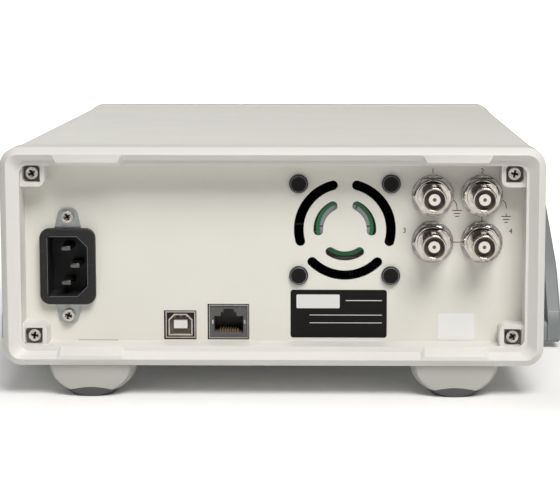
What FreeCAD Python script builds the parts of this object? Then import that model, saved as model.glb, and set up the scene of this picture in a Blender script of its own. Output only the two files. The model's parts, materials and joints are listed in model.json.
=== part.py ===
"""Bench function generator: a half-rack case with a bail handle, a keyed front and a connector rear.

Lengths are in millimetres. +Z is up, the front faces -Y and the rear faces +Y.
The origin is under the middle of the whole object, on the surface that its feet stand on.
"""
import FreeCAD, Part
import math
import os

import Sketcher
from FreeCAD import Rotation, Vector

SIZES = {
    # Case: two moulded bezels joined by a sheet-metal cover
    "case_width": 214.6,
    "case_height": 87.0,
    "case_depth": 279.0,
    "case_corner": 7.5,
    "foot_height": 12.8,
    "knob_proud": 14.0,
    "bezel_depth": 16.4,
    "edge_round": 3.0,
    "rim_slope": 2.7,
    "crest_inset": 2.9,
    "rim_side": 6.3,
    "rim_edge": 5.4,
    "rim_corner": 4.5,
    "frame_side": 7.4,
    "frame_edge": 7.4,
    "frame_corner": 3.5,
    "step_back": 4.0,
    "spigot_depth": 6.0,
    "spigot_wall": 1.6,
    "cover_wall": 1.0,
    "cover_inset": 0.5,
    "cover_lip": 5.0,
    "shell_gap": 0.2,
    "part_gap": 0.3,
    "weld": 0.5,
    "screw_gap": 0.1,
    "tab_from_side": 35.0,
    "tab_width": 27.2,
    "tab_drop": 2.0,
    "tab_crest_drop": 1.3,
    "tab_slope": 1.6,
    # Vents in the sides of the cover
    "vent_width": 2.4,
    "vent_height": 26.0,
    "vent_pitch": 6.0,
    "vent_end": 55.8,
    "vent_count": 10,
    # Rear panel and the corner screws that hold it
    "panel_wall": 1.5,
    "boss_proud": 10.0,
    "boss_lip": 1.8,
    "boss_round": 3.0,
    "pocket_width": 7.0,
    "pocket_height": 6.7,
    "pocket_floor": 6.2,
    "corner_screw_side": 4.4,
    "corner_screw_edge": 3.5,
    "screw_radius": 1.5,
    "screw_head_radius": 2.45,
    "screw_head_height": 1.8,
    "screw_length": 12.0,
    "cross_width": 0.8,
    "cross_length": 2.7,
    "cross_depth": 1.1,
    # Mains inlet
    "inlet_from_side": 24.7,
    "inlet_below_middle": 5.55,
    "inlet_width": 22.4,
    "inlet_height": 30.8,
    "inlet_corner": 4.0,
    "inlet_flange": 2.6,
    "inlet_body_depth": 17.0,
    "inlet_waist": 1.4,
    "inlet_round": 0.6,
    "cavity_width": 16.0,
    "cavity_height": 24.6,
    "cavity_chamfer": 4.4,
    "cavity_corner": 1.2,
    "cavity_depth": 15.0,
    "ear_pitch": 40.0,
    "ear_radius": 3.4,
    "ear_width": 8.8,
    "ear_wall": 0.8,
    "ear_corner": 3.2,
    "ear_flare": 1.2,
    "ear_tuck": 1.0,
    "bracket_inset": 0.3,
    "blade_width": 2.0,
    "blade_height": 4.0,
    "blade_pitch": 14.0,
    "blade_offset": 3.6,
    "blade_side": 1.0,
    "blade_length": 12.0,
    "blade_tail": 6.0,
    # USB and LAN ports
    "port_floor": 8.35,
    "usb_b_x": 37.7,
    "usb_b_width": 12.2,
    "usb_b_height": 11.0,
    "usb_b_depth": 16.0,
    "usb_b_hole_width": 9.3,
    "usb_b_hole_height": 8.4,
    "usb_b_chamfer": 2.2,
    "usb_b_hole_depth": 9.0,
    "usb_b_sunk": 0.4,
    "usb_tongue_width": 5.5,
    "usb_tongue_height": 3.4,
    "lan_x": 18.2,
    "lan_width": 15.9,
    "lan_height": 13.7,
    "lan_depth": 16.0,
    "shield_wall": 0.35,
    "lan_plug_width": 11.8,
    "lan_plug_height": 6.9,
    "lan_step_width": 6.4,
    "lan_step_height": 1.6,
    "lan_latch_width": 4.2,
    "lan_latch_height": 1.4,
    "lan_plug_floor": 1.8,
    "lan_plug_depth": 12.0,
    "lan_contacts": 8,
    "lan_contact_pitch": 1.02,
    "lan_contact_width": 0.45,
    "lan_contact_height": 1.1,
    "lan_contact_sunk": 2.4,
    "lan_insert_sunk": 0.6,
    "lan_proud": 0.2,
    "usb_a_x": 9.0,
    "usb_a_above_sill": 6.6,
    "usb_a_width": 13.1,
    "usb_a_height": 5.7,
    "usb_a_depth": 14.0,
    "usb_a_wall": 0.4,
    "usb_a_proud": 0.3,
    "usb_a_tongue_width": 11.5,
    "usb_a_tongue_wall": 1.7,
    "usb_a_tongue_gap": 0.5,
    "tongue_sunk": 1.0,
    "port_gap": 0.35,
    # Signal connectors
    "bnc_from_side": 43.6,
    "bnc_column": 19.7,
    "bnc_below_top": 13.1,
    "bnc_row": 18.7,
    "bnc_length": 16.2,
    "bnc_barrel_radius": 4.8,
    "bnc_bore_radius": 4.05,
    "bnc_bore_floor": 6.0,
    "bnc_bush_radius": 6.15,
    "bnc_bush_length": 5.4,
    "bnc_flat": 5.2,
    "bnc_flange_radius": 8.0,
    "bnc_flange": 2.0,
    "bnc_tail_radius": 4.6,
    "bnc_tail": 6.0,
    "bnc_washer_radius": 8.4,
    "bnc_washer": 0.9,
    "bnc_nut_across": 14.0,
    "bnc_nut": 2.6,
    "bnc_lug_radius": 1.0,
    "bnc_lug_proud": 0.9,
    "bnc_lug_back": 4.8,
    "bnc_insulator_radius": 2.3,
    "bnc_insulator_back": 3.4,
    "bnc_contact_radius": 1.05,
    "bnc_contact_hole": 0.5,
    "bnc_slip": 0.03,
    "bnc_round": 0.3,
    "bnc_pin_tail": 3.0,
    "bnc_nut_crown": 1.2,
    "bnc_notches": 12,
    "bnc_notch_inset": 0.5,
    "bnc_notch_radius": 0.45,
    # Fan behind the rear panel
    "fan_x": 28.6,
    "fan_below_top": 26.9,
    "fan_size": 45.0,
    "fan_corner": 3.0,
    "fan_depth": 10.0,
    "fan_bore": 21.2,
    "fan_screw_pitch": 37.0,
    "fan_hub_radius": 12.4,
    "fan_disc": 2.0,
    "fan_disc_back": 0.5,
    "fan_spoke": 3.0,
    "fan_blade_tip": 20.4,
    "fan_blades": 7,
    "fan_blade_chord": 6.75,
    "fan_blade_wall": 0.9,
    "fan_blade_root": 0.4,
    "fan_end_gap": 0.4,
    "fan_cup_wall": 1.2,
    "fan_shaft_radius": 1.5,
    "fan_running_gap": 0.05,
    "fan_bearing_radius": 3.2,
    "slot_outer_radius": 18.5,
    "slot_outer_width": 3.9,
    "slot_inner_radius": 10.7,
    "slot_inner_width": 3.8,
    "rivet_head_radius": 3.8,
    "rivet_head": 1.7,
    "rivet_dimple": 2.5,
    "rivet_round": 0.9,
    "rivet_tip": 1.5,
    "rivet_shank_radius": 1.9,
    # Feet
    "foot_from_side": 34.8,
    "foot_from_end": 11.8,
    "foot_flat": 8.6,
    "foot_radius": 17.5,
    "foot_waist": 17.1,
    "foot_waist_height": 7.4,
    "foot_waist_round": 8.0,
    "foot_rim_radius": 11.8,
    "foot_rim_height": 2.7,
    "foot_pad_radius": 8.4,
    "foot_pad_crown": 4.2,
    "foot_pad_crown_radius": 7.0,
    "foot_screw_head": 1.0,
    "foot_screw_depth": 5.0,
    # Front panel
    "fascia_back": 2.6,
    "fascia_wall": 3.0,
    "fascia_lip": 2.0,
    "window_from_side": 11.3,
    "window_width": 80.0,
    "window_sill": 15.4,
    "window_below_top": 1.8,
    "window_wall": 1.6,
    "window_ledge": 3.0,
    "window_corner": 2.5,
    "display_border": 1.2,
    "board_wall": 1.6,
    "board_space": 6.4,
    "board_side": 1.0,
    "board_edge": 1.5,
    "board_boss_radius": 2.2,
    "board_boss_side": 4.6,
    "board_boss_low": 20.0,
    "board_boss_high": 4.0,
    # Keys, sprung to the front
    "key_proud": 1.7,
    "key_travel": 1.0,
    "key_corner": 1.4,
    "key_round": 0.5,
    "key_skirt": 1.1,
    "key_skirt_wall": 1.2,
    "key_stem_radius": 1.5,
    "key_stem": 1.5,
    "switch_width": 5.0,
    "soft_key_width": 10.6,
    "soft_key_height": 6.0,
    "soft_key_pitch": 14.0,
    "soft_key_from_side": 27.3,
    "soft_key_above_sill": 7.2,
    "number_key_width": 11.0,
    "number_key_height": 8.0,
    "number_key_column": 14.0,
    "number_key_row": 13.0,
    "number_key_first": 5.0,
    "number_key_below_top": 11.0,
    "output_key_width": 11.0,
    "output_key_height": 5.6,
    "output_key_above_sill": 30.0,
    "power_from_side": 13.3,
    "power_radius": 4.2,
    "output_from_side": 55.3,
    "output_pitch": 34.0,
    "output_above_sill": 15.0,
    # Rotary knob
    "knob_from_side": 38.3,
    "knob_below_top": 21.4,
    "knob_radius": 15.5,
    "knob_tip_radius": 13.6,
    "knob_round": 1.5,
    "knob_gap": 0.6,
    "knob_groove_radius": 1.1,
    "knob_grooves": 24,
    "knob_bore_floor": 5.0,
    "knob_skirt": 2.0,
    "knob_draft": 0.5,
    "knob_bush_gap": 1.0,
    "knob_groove_out": 0.75,
    "knob_groove_inset": 2.5,
    "knob_groove_back": 0.2,
    "dimple_radius": 6.0,
    "dimple_depth": 1.2,
    "shaft_radius": 3.0,
    "shaft_running_gap": 0.05,
    "bush_radius": 3.8,
    "bush_proud": 5.0,
    "encoder_width": 12.0,
    "encoder_floor": 1.0,
    # Bail handle, stowed below the case
    "pivot_setback": 74.0,
    "pivot_below_middle": 1.3,
    "pivot_disc_radius": 17.8,
    "pivot_disc": 3.0,
    "pivot_pin_radius": 6.0,
    "pivot_running_gap": 0.06,
    "pivot_cap_radius": 10.0,
    "pivot_cap": 1.6,
    "pivot_cap_sunk": 0.6,
    "hub_radius": 17.8,
    "hub_boss_radius": 15.0,
    "arm_out": 13.4,
    "arm_wall": 5.8,
    "arm_round": 1.2,
    "arm_root_back": 2.0,
    "arm_root_drop": 5.0,
    "arm_belly_back": 18.0,
    "arm_belly_round": 22.0,
    "toe_back": 1.0,
    "toe_round": 3.0,
    "heel_rise": 3.0,
    "heel_round": 10.0,
    "elbow_back": 19.0,
    "elbow_rise": 23.5,
    "elbow_round": 30.0,
    "grip_reach": 86.8,
    "grip_depth": 13.0,
    "grip_height": 9.5,
    "grip_corner": 2.5,
    "stow_gap": 0.8,
    # Boards inside
    "standoff_radius": 3.0,
    "standoff_edge": 6.0,
    "main_board_from_side": 11.3,
    "supply_gap": 4.0,
    "main_board_depth": 165.0,
    "chip_from_edge": 56.0,
    "chip_width": 24.0,
    "chip_height": 2.4,
    "coil_from_edge": 32.0,
    "coil_radius": 7.0,
    "coil_height": 9.0,
    "solder": 0.1,
    "supply_width": 36.0,
    "supply_from_side": 15.3,
    "supply_front": 40.0,
    "supply_back": 92.0,
    "transformer_width": 28.0,
    "transformer_height": 26.0,
    "transformer_from_edge": 3.0,
    "transformer_from_front": 36.0,
    "capacitor_radius": 8.0,
    "capacitor_height": 28.0,
    "capacitor_pitch": 20.0,
    "capacitor_from_edge": 12.0,
    "capacitor_from_back": 30.0,
    "heatsink_wall": 3.0,
    "heatsink_height": 30.0,
    "heatsink_length": 40.0,
    "heatsink_from_edge": 6.0,
    "heatsink_from_back": 18.0,
}

FAN_BLADE_LEAN = 52
Y_AXIS_TURN = Rotation(Vector(1, 0, 0), -90)
X_AXIS_TURN = Rotation(Vector(0, 1, 0), 90)

doc = FreeCAD.newDocument("function_generator")
sheet = doc.addObject("Spreadsheet::Sheet", "Sizes")
for row, (alias, number) in enumerate(SIZES.items(), start=1):
    sheet.set(f"A{row}", alias)
    sheet.set(f"B{row}", str(number))
    sheet.setAlias(f"B{row}", alias)
doc.recompute()


def value_of(thing):
    """The number behind a size or a plain number."""
    return thing.value if isinstance(thing, Size) else float(thing)


def formula_of(thing):
    """The sheet formula behind a size or a plain number."""
    return thing.formula if isinstance(thing, Size) else f"{float(thing):.9f}"


class Size:
    """A length that knows both its value and the sheet formula that gives it."""

    def __init__(self, value, formula):
        self.value = value
        self.formula = formula

    def __add__(self, other):
        return Size(self.value + value_of(other), f"({self.formula} + {formula_of(other)})")

    def __sub__(self, other):
        return Size(self.value - value_of(other), f"({self.formula} - {formula_of(other)})")

    def __mul__(self, other):
        return Size(self.value * value_of(other), f"({self.formula} * {formula_of(other)})")

    def __truediv__(self, other):
        return Size(self.value / value_of(other), f"({self.formula} / {formula_of(other)})")

    def __radd__(self, other):
        return Size(value_of(other) + self.value, f"({formula_of(other)} + {self.formula})")

    def __rsub__(self, other):
        return Size(value_of(other) - self.value, f"({formula_of(other)} - {self.formula})")

    def __rmul__(self, other):
        return self * other

    def __neg__(self):
        return self * -1


class Sizes:
    """The sheet's sizes by name."""

    def __getattr__(self, alias):
        return Size(float(SIZES[alias]), f"Sizes.{alias}")


s = Sizes()


# Helpers that bind every dimension to the sheet

def root(size):
    """The square root of a size."""
    return Size(math.sqrt(size.value), f"sqrt({size.formula})")


def bind(thing, path, size):
    """Bind one property of an object to a size."""
    thing.setExpression(path, formula_of(size))


def place(thing, x, y, z):
    """Bind an object's position."""
    for axis, size in zip("xyz", (x, y, z)):
        bind(thing, f"Placement.Base.{axis}", size)


def around(centre, width):
    """The low and high ends of a width about a centre."""
    return centre - width / 2, centre + width / 2


def box(x, y, z, label="block"):
    """A box between the low and high ends of x, y and z."""
    made = doc.addObject("Part::Box", label)
    for path, (low, high) in zip(("Length", "Width", "Height"), (x, y, z)):
        bind(made, path, high - low)
    place(made, x[0], y[0], z[0])
    return made


def rod(axis, radius, ends, first, second, label="rod"):
    """A cylinder along an axis between its ends, at the two other coordinates."""
    made = doc.addObject("Part::Cylinder", label)
    bind(made, "Radius", radius)
    bind(made, "Height", ends[1] - ends[0])
    if axis == "x":
        made.Placement.Rotation = X_AXIS_TURN
        place(made, ends[0], first, second)
    elif axis == "y":
        made.Placement.Rotation = Y_AXIS_TURN
        place(made, first, ends[0], second)
    else:
        place(made, first, second, ends[0])
    return made


def fuse(label, *solids):
    """One solid made of several."""
    made = doc.addObject("Part::MultiFuse", label)
    made.Shapes = list(solids)
    made.Refine = True
    return made


def cut(label, base, *tools):
    """A solid with tools taken out of it."""
    made = doc.addObject("Part::Cut", label)
    made.Base = base
    made.Tool = tools[0] if len(tools) == 1 else group("tools", *tools)
    made.Refine = True
    return made


def group(label, *solids):
    """Separate solids that share one node."""
    made = doc.addObject("Part::Compound", label)
    made.Links = list(solids)
    return made


def copies(label, pattern, places):
    """Copies of one piece at (x, y, z, turn), each turned about the vertical, as one node."""
    made = []
    for x, y, z, turn in places:
        link = doc.addObject("App::Link", f"{label}_copy")
        link.LinkedObject = pattern
        link.Placement.Rotation = Rotation(Vector(0, 0, 1), turn)
        place(link, x, y, z)
        made.append(link)
    return group(label, *made)


def rectangle(x, y, radius=None):
    """The corners of a rectangle between the low and high ends of x and y."""
    ends = ((x[0], y[0]), (x[1], y[0]), (x[1], y[1]), (x[0], y[1]))
    return [(a, b, radius) for a, b in ends]


def draw_circle(drawing, x, y, radius):
    """Draw a circle whose centre and radius are bound."""
    centre = Vector(value_of(x), value_of(y), 0)
    circle = drawing.addGeometry(Part.Circle(centre, Vector(0, 0, 1), value_of(radius)), False)
    add_distance(drawing, "DistanceX", circle, 3, x)
    add_distance(drawing, "DistanceY", circle, 3, y)
    radial = drawing.addConstraint(Sketcher.Constraint("Radius", circle, value_of(radius)))
    bind(drawing, f"Constraints[{radial}]", radius)


def add_distance(drawing, kind, geometry, position, size):
    """Bind a point's distance from the sketch's origin along one axis."""
    made = Sketcher.Constraint(kind, -1, 1, geometry, position, value_of(size))
    index = drawing.addConstraint(made)
    bind(drawing, f"Constraints[{index}]", size)


def draw_outline(drawing, corners):
    """Draw a closed outline through corners (x, y, radius), rounded where a radius is given."""
    points = [Vector(value_of(x), value_of(y), 0) for x, y, _ in corners]
    count = len(corners)
    starts = list(points)
    ends = list(points)
    arcs = {}
    for i, (_, _, radius) in enumerate(corners):
        if radius is None:
            continue
        back = (points[i - 1] - points[i]).normalize()
        ahead = (points[(i + 1) % count] - points[i]).normalize()
        half = back.getAngle(ahead) / 2
        reach = value_of(radius) / math.tan(half)
        ends[i] = points[i] + back * reach
        starts[i] = points[i] + ahead * reach
        centre = points[i] + (back + ahead).normalize() * (value_of(radius) / math.sin(half))
        arcs[i] = (centre, back.cross(ahead).z < 0)
    lines = []
    for i in range(count):
        following = (i + 1) % count
        lines.append(drawing.addGeometry(Part.LineSegment(starts[i], ends[following]), False))
    for i, (x, y, radius) in enumerate(corners):
        before = lines[i - 1]
        after = lines[i]
        if radius is None:
            drawing.addConstraint(Sketcher.Constraint("Coincident", before, 2, after, 1))
            add_distance(drawing, "DistanceX", after, 1, x)
            add_distance(drawing, "DistanceY", after, 1, y)
            continue
        vertex = drawing.addGeometry(Part.Point(points[i]), True)
        add_distance(drawing, "DistanceX", vertex, 1, x)
        add_distance(drawing, "DistanceY", vertex, 1, y)
        drawing.addConstraint(Sketcher.Constraint("PointOnObject", vertex, 1, before))
        drawing.addConstraint(Sketcher.Constraint("PointOnObject", vertex, 1, after))
        centre, turns_left = arcs[i]
        first, last = (ends[i], starts[i]) if turns_left else (starts[i], ends[i])
        circle = Part.Circle(centre, Vector(0, 0, 1), value_of(radius))
        angles = [math.atan2(p.y - centre.y, p.x - centre.x) for p in (first, last)]
        arc = drawing.addGeometry(Part.ArcOfCircle(circle, angles[0], angles[1]), False)
        joins = (1, 2) if turns_left else (2, 1)
        drawing.addConstraint(Sketcher.Constraint("Tangent", before, 2, arc, joins[0]))
        drawing.addConstraint(Sketcher.Constraint("Tangent", after, 1, arc, joins[1]))
        radial = drawing.addConstraint(Sketcher.Constraint("Radius", arc, value_of(radius)))
        bind(drawing, f"Constraints[{radial}]", radius)


def body(label):
    """A new body for one sub-part."""
    made = doc.addObject("PartDesign::Body", label)
    made.Label = label
    return made


def sketch(owner, plane, level, shapes):
    """A sketch on one of the body's own planes, lifted to a level. Lists are outlines, tuples circles."""
    drawing = owner.newObject("Sketcher::SketchObject", f"{owner.Label}_sketch")
    role = f"{plane.upper()}_Plane"
    base = next(part for part in owner.Origin.OriginFeatures if part.Role == role)
    drawing.AttachmentSupport = [(base, "")]
    drawing.MapMode = "FlatFace"
    bind(drawing, "AttachmentOffset.Base.z", -level if plane == "xz" else level)
    for shape in shapes:
        if isinstance(shape, list):
            draw_outline(drawing, shape)
        else:
            draw_circle(drawing, *shape)
    return drawing


def pad(owner, plane, low, high, *shapes):
    """Add material between two levels. The XZ plane faces the front, so there it starts at the back."""
    start = high if plane == "xz" else low
    drawing = sketch(owner, plane, start, shapes)
    made = owner.newObject("PartDesign::Pad", f"{owner.Label}_pad")
    made.Profile = drawing
    bind(made, "Length", high - low)
    return made


def pocket(owner, plane, low, high, *shapes):
    """Take material away between two levels."""
    start = low if plane == "xz" else high
    drawing = sketch(owner, plane, start, shapes)
    made = owner.newObject("PartDesign::Pocket", f"{owner.Label}_pocket")
    made.Profile = drawing
    bind(made, "Length", high - low)
    return made


def funnel(owner, first_level, first, second_level, second):
    """Take away what tapers from one outline to another between two levels across Y."""
    made = owner.newObject("PartDesign::SubtractiveLoft", f"{owner.Label}_funnel")
    made.Profile = sketch(owner, "xz", first_level, [first])
    made.Sections = [sketch(owner, "xz", second_level, [second])]
    made.Ruled = True
    return made


def turn(owner, plane, corners):
    """Turn an outline of (radius, along, corner) about the sketch's upright axis."""
    drawing = sketch(owner, plane, 0.0, [corners])
    made = owner.newObject("PartDesign::Revolution", f"{owner.Label}_turned")
    made.Profile = drawing
    made.ReferenceAxis = (drawing, ["V_Axis"])
    made.Angle = 360
    return made


def round_edges(owner, radius, chosen, kind="Fillet"):
    """Round or chamfer the edges of a body that the chooser picks by their box."""
    doc.recompute()
    tip = owner.Tip
    names = []
    for index, edge in enumerate(tip.Shape.Edges, start=1):
        if chosen(edge.BoundBox):
            names.append(f"Edge{index}")
    made = owner.newObject(f"PartDesign::{kind}", f"{owner.Label}_{kind.lower()}")
    made.Base = (tip, names)
    bind(made, "Radius" if kind == "Fillet" else "Size", radius)
    return made


def near(first, second):
    """Whether two numbers are the same length."""
    return abs(value_of(first) - value_of(second)) < 0.001


# Main planes of the case

half_width = s.case_width / 2
tab_centre = half_width - s.tab_from_side
inlet_x = half_width - s.inlet_from_side
bnc_near = half_width - s.bnc_from_side
foot_centre = half_width - s.foot_from_side
window_left = half_width - s.window_from_side
soft_key_first = half_width - s.soft_key_from_side
power_x = half_width - s.power_from_side
output_x = half_width - s.output_from_side
knob_x = half_width - s.knob_from_side
main_board_left = half_width - s.main_board_from_side
supply_right = half_width - s.supply_from_side
supply_left = supply_right - s.supply_width
main_board_right = supply_left - s.supply_gap
rear = (s.case_depth + s.knob_proud) / 2
front = rear - s.case_depth
bottom = s.foot_height
top = bottom + s.case_height
middle = bottom + s.case_height / 2
panel_face = rear - s.bezel_depth
panel_back = panel_face - s.panel_wall
cover_front = front + s.bezel_depth
cover_side = half_width - s.cover_inset
cover_bottom = bottom + s.cover_inset
cover_top = top - s.cover_inset
cover_inside = cover_side - s.cover_wall
spigot_side = cover_inside - s.shell_gap
spigot_bottom = cover_bottom + s.cover_wall + s.shell_gap
spigot_top = cover_top - s.cover_wall - s.shell_gap
spigot_inner = spigot_side - s.spigot_wall
spigot_corner = s.case_corner - s.cover_inset - s.cover_wall - s.shell_gap
frame_x = half_width - s.frame_side
frame_bottom = bottom + s.frame_edge
frame_top = top - s.frame_edge
rim_x = half_width - s.rim_side
rim_bottom = bottom + s.rim_edge
rim_top = top - s.rim_edge
fascia_face = front + s.fascia_back
fascia_inside = fascia_face + s.fascia_wall
fascia_x = rim_x + s.fascia_lip
fascia_bottom = rim_bottom - s.fascia_lip
fascia_top = rim_top + s.fascia_lip
board_front = fascia_inside + s.board_space
board_back = board_front + s.board_wall
sill = rim_bottom
head = rim_top

corner_screws_at = [(side * (frame_x - s.corner_screw_side), z)
                    for side in (-1, 1)
                    for z in (frame_bottom + s.corner_screw_edge, frame_top - s.corner_screw_edge)]
inlet_z = middle - s.inlet_below_middle
inlet_screws_at = [(inlet_x, inlet_z + side * s.ear_pitch / 2) for side in (-1, 1)]
fan_z = frame_top - s.fan_below_top
rivets_at = [(across * s.fan_screw_pitch / 2 - s.fan_x, fan_z + up * s.fan_screw_pitch / 2)
             for across in (-1, 1) for up in (-1, 1)]
inputs_at = [(-bnc_near - across * s.bnc_column, frame_top - s.bnc_below_top - down * s.bnc_row)
             for across in (0, 1) for down in (0, 1)]
outputs_at = [(output_x + across * s.output_pitch, sill + s.output_above_sill) for across in (0, 1)]
feet_at = [(side * foot_centre, y, turned)
           for side in (-1, 1)
           for y, turned in ((rear - s.foot_from_end, 0), (front + s.foot_from_end, 180))]
board_floor = bottom + s.port_floor
knob_z = head - s.knob_below_top
usb_a_z = sill + s.usb_a_above_sill


# Fasteners

def screw(label, length):
    """A pan-head cross screw along Y: its head is proud of the plane at zero."""
    head_solid = rod("y", s.screw_head_radius, (0, s.screw_head_height), 0, 0)
    shank = rod("y", s.screw_radius, (-length, 0), 0, 0)
    whole = fuse(f"{label}_blank", head_solid, shank)
    recess = (s.screw_head_height - s.cross_depth, s.screw_head_height + 1)
    flat = box(around(0, s.cross_length), recess, around(0, s.cross_width))
    upright = box(around(0, s.cross_width), recess, around(0, s.cross_length))
    return cut(f"{label}_pattern", whole, fuse("cross", flat, upright))


corner_floor = panel_face + s.pocket_floor
panel_screw = screw("panel_screw", s.screw_length)
copies("corner_screws", panel_screw, [(x, corner_floor, z, 0) for x, z in corner_screws_at])
copies("inlet_screws", panel_screw,
       [(x, panel_face + s.ear_wall, z, 0) for x, z in inlet_screws_at])


# Bezels, cover and rear panel

def tabbed_opening(half, low, high, drop):
    """The rear rim's opening at one depth, with its four tabs reaching into it."""
    bottom_edge = []
    for centre in (-tab_centre, tab_centre):
        start, end = around(centre, s.tab_width)
        bottom_edge += [(start, low, None), (start + s.tab_slope, low + drop, None),
                        (end - s.tab_slope, low + drop, None), (end, low, None)]
    top_edge = [(-x, high + low - z, None) for x, z, _ in bottom_edge]
    return [(-half, low, s.rim_corner), *bottom_edge, (half, low, s.rim_corner),
            (half, high, s.rim_corner), *top_edge, (-half, high, s.rim_corner)]


def bezel(label, rim, back, inner_x, inner_bottom, inner_top, ledge):
    """A moulded frame: a thin rim, a deeper frame behind it and a spigot that the cover slides over."""
    facing = 1 if rim is rear else -1
    made = body(label)
    outer = rectangle((-half_width, half_width), (bottom, top), s.case_corner)
    inner = rectangle((-inner_x, inner_x), (inner_bottom, inner_top), s.frame_corner)
    sleeve = rectangle((-spigot_side, spigot_side), (spigot_bottom, spigot_top), spigot_corner)
    hollow = rectangle((-spigot_inner, spigot_inner),
                       (spigot_bottom + s.spigot_wall, spigot_top - s.spigot_wall),
                       spigot_corner - s.spigot_wall)
    if facing > 0:
        pad(made, "xz", ledge, rim, outer)
        funnel(made, ledge, tabbed_opening(rim_x, rim_bottom, rim_top, s.tab_drop),
               rim, tabbed_opening(half_width - s.crest_inset, bottom + s.crest_inset,
                                   top - s.crest_inset, s.tab_crest_drop))
        pad(made, "xz", back, ledge, outer, inner)
        pad(made, "xz", back - s.spigot_depth, back, sleeve, hollow)
    else:
        opening = rectangle((-rim_x, rim_x), (rim_bottom, rim_top), s.rim_corner)
        pad(made, "xz", rim, ledge, outer, opening)
        pad(made, "xz", ledge, back, outer, inner)
        pad(made, "xz", back, back + s.spigot_depth, sleeve, hollow)
    return made


def outer_rim(plane):
    """Pick the edges of a bezel's outside corner at one plane."""
    def chosen(bound):
        flat = near(bound.YMin, plane) and near(bound.YMax, plane)
        wide = near(max(abs(bound.XMin), abs(bound.XMax)), half_width)
        return flat and (wide or near(bound.ZMax, top) or near(bound.ZMin, bottom))
    return chosen


rear_frame = bezel("rear_bezel_frame", rear, panel_face, frame_x, frame_bottom, frame_top,
                   rear - s.step_back)
for x, z in corner_screws_at:
    side = 1 if x.value > 0 else -1
    up = 1 if z.value > middle.value else -1
    inward_x = x - side * (s.pocket_width / 2 + s.boss_lip)
    inward_z = z - up * (s.pocket_height / 2 + s.boss_lip)
    outward_x = side * (frame_x + s.weld)
    outward_z = (frame_top + s.weld) if up > 0 else (frame_bottom - s.weld)
    across = (inward_x, outward_x) if side > 0 else (outward_x, inward_x)
    along = (inward_z, outward_z) if up > 0 else (outward_z, inward_z)
    corners = [(a, b, s.boss_round if a is inward_x and b is inward_z else None)
               for a, b, _ in rectangle(across, along)]
    pad(rear_frame, "xz", panel_face, panel_face + s.boss_proud, corners)
for x, z in corner_screws_at:
    pocket(rear_frame, "xz", corner_floor, corner_floor + 6,
           rectangle(around(x, s.pocket_width), around(z, s.pocket_height)))
    pocket(rear_frame, "xz", panel_face - 1, corner_floor + 1,
           (x, z, s.screw_radius + s.screw_gap))
for x, y, _ in feet_at:
    if y.value > 0:
        pocket(rear_frame, "xy", bottom - 1, bottom + s.foot_screw_depth + s.part_gap,
               (x, y, s.screw_radius + s.screw_gap))
round_edges(rear_frame, s.rim_slope, outer_rim(rear), "Chamfer")
rear_frame.Label = "rear_bezel"

front_frame = bezel("front_bezel_frame", front, cover_front, fascia_x + s.part_gap,
                    fascia_bottom - s.part_gap, fascia_top + s.part_gap, fascia_face)
for x, y, _ in feet_at:
    if y.value < 0:
        pocket(front_frame, "xy", bottom - 1, bottom + s.foot_screw_depth + s.part_gap,
               (x, y, s.screw_radius + s.screw_gap))
round_edges(front_frame, s.edge_round, outer_rim(front))
front_frame.Label = "front_bezel"

wrap = body("cover_wrap")
cover_round = s.case_corner - s.cover_inset
pad(wrap, "xz", cover_front, panel_face,
    rectangle((-cover_side, cover_side), (cover_bottom, cover_top), cover_round),
    rectangle((-cover_inside, cover_inside),
              (cover_bottom + s.cover_wall, cover_top - s.cover_wall), cover_round - s.cover_wall))
plate_x = cover_side - cover_round - s.cover_lip
vents = []
for i in range(SIZES["vent_count"]):
    vent_y = panel_face - s.vent_end - i * s.vent_pitch
    vents.append(box((-cover_side - 1, cover_side + 1), (vent_y - s.vent_width, vent_y),
                     around(middle, s.vent_height)))
open_bottom = box((-plate_x, plate_x), (cover_front - 1, panel_face + 1),
                  (cover_bottom - 1, cover_bottom + s.cover_wall + 1))
top_cover = cut("top_cover", wrap, open_bottom, *vents)

plate_edge = plate_x - s.shell_gap
plate_top = cover_bottom + s.cover_wall
tray = [box((-plate_edge, plate_edge), (cover_front, panel_face), (cover_bottom, plate_top))]
for side in (-1, 1):
    wall_x = side * (plate_edge - s.cover_wall / 2)
    tray.append(box(around(wall_x, s.cover_wall),
                    (cover_front + s.spigot_depth + s.part_gap,
                     panel_face - s.spigot_depth - s.part_gap),
                    (cover_bottom, board_floor - s.board_wall - s.part_gap)))
main_front = panel_back - s.part_gap - s.main_board_depth
main_back = panel_back - s.part_gap
bottom_cover = fuse("bottom_cover", *tray)
supports = [(x, y) for x in (-main_board_left + s.standoff_edge, main_board_right - s.standoff_edge)
            for y in (main_front + s.standoff_edge, main_back - s.standoff_edge * 2)]
supports += [(x, y) for x in (supply_left + s.standoff_edge, supply_right - s.standoff_edge)
             for y in (-s.supply_front + s.standoff_edge, s.supply_back - s.standoff_edge)]
group("standoffs", *[rod("z", s.standoff_radius, (plate_top, board_floor - s.board_wall), x, y)
                     for x, y in supports])

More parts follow.
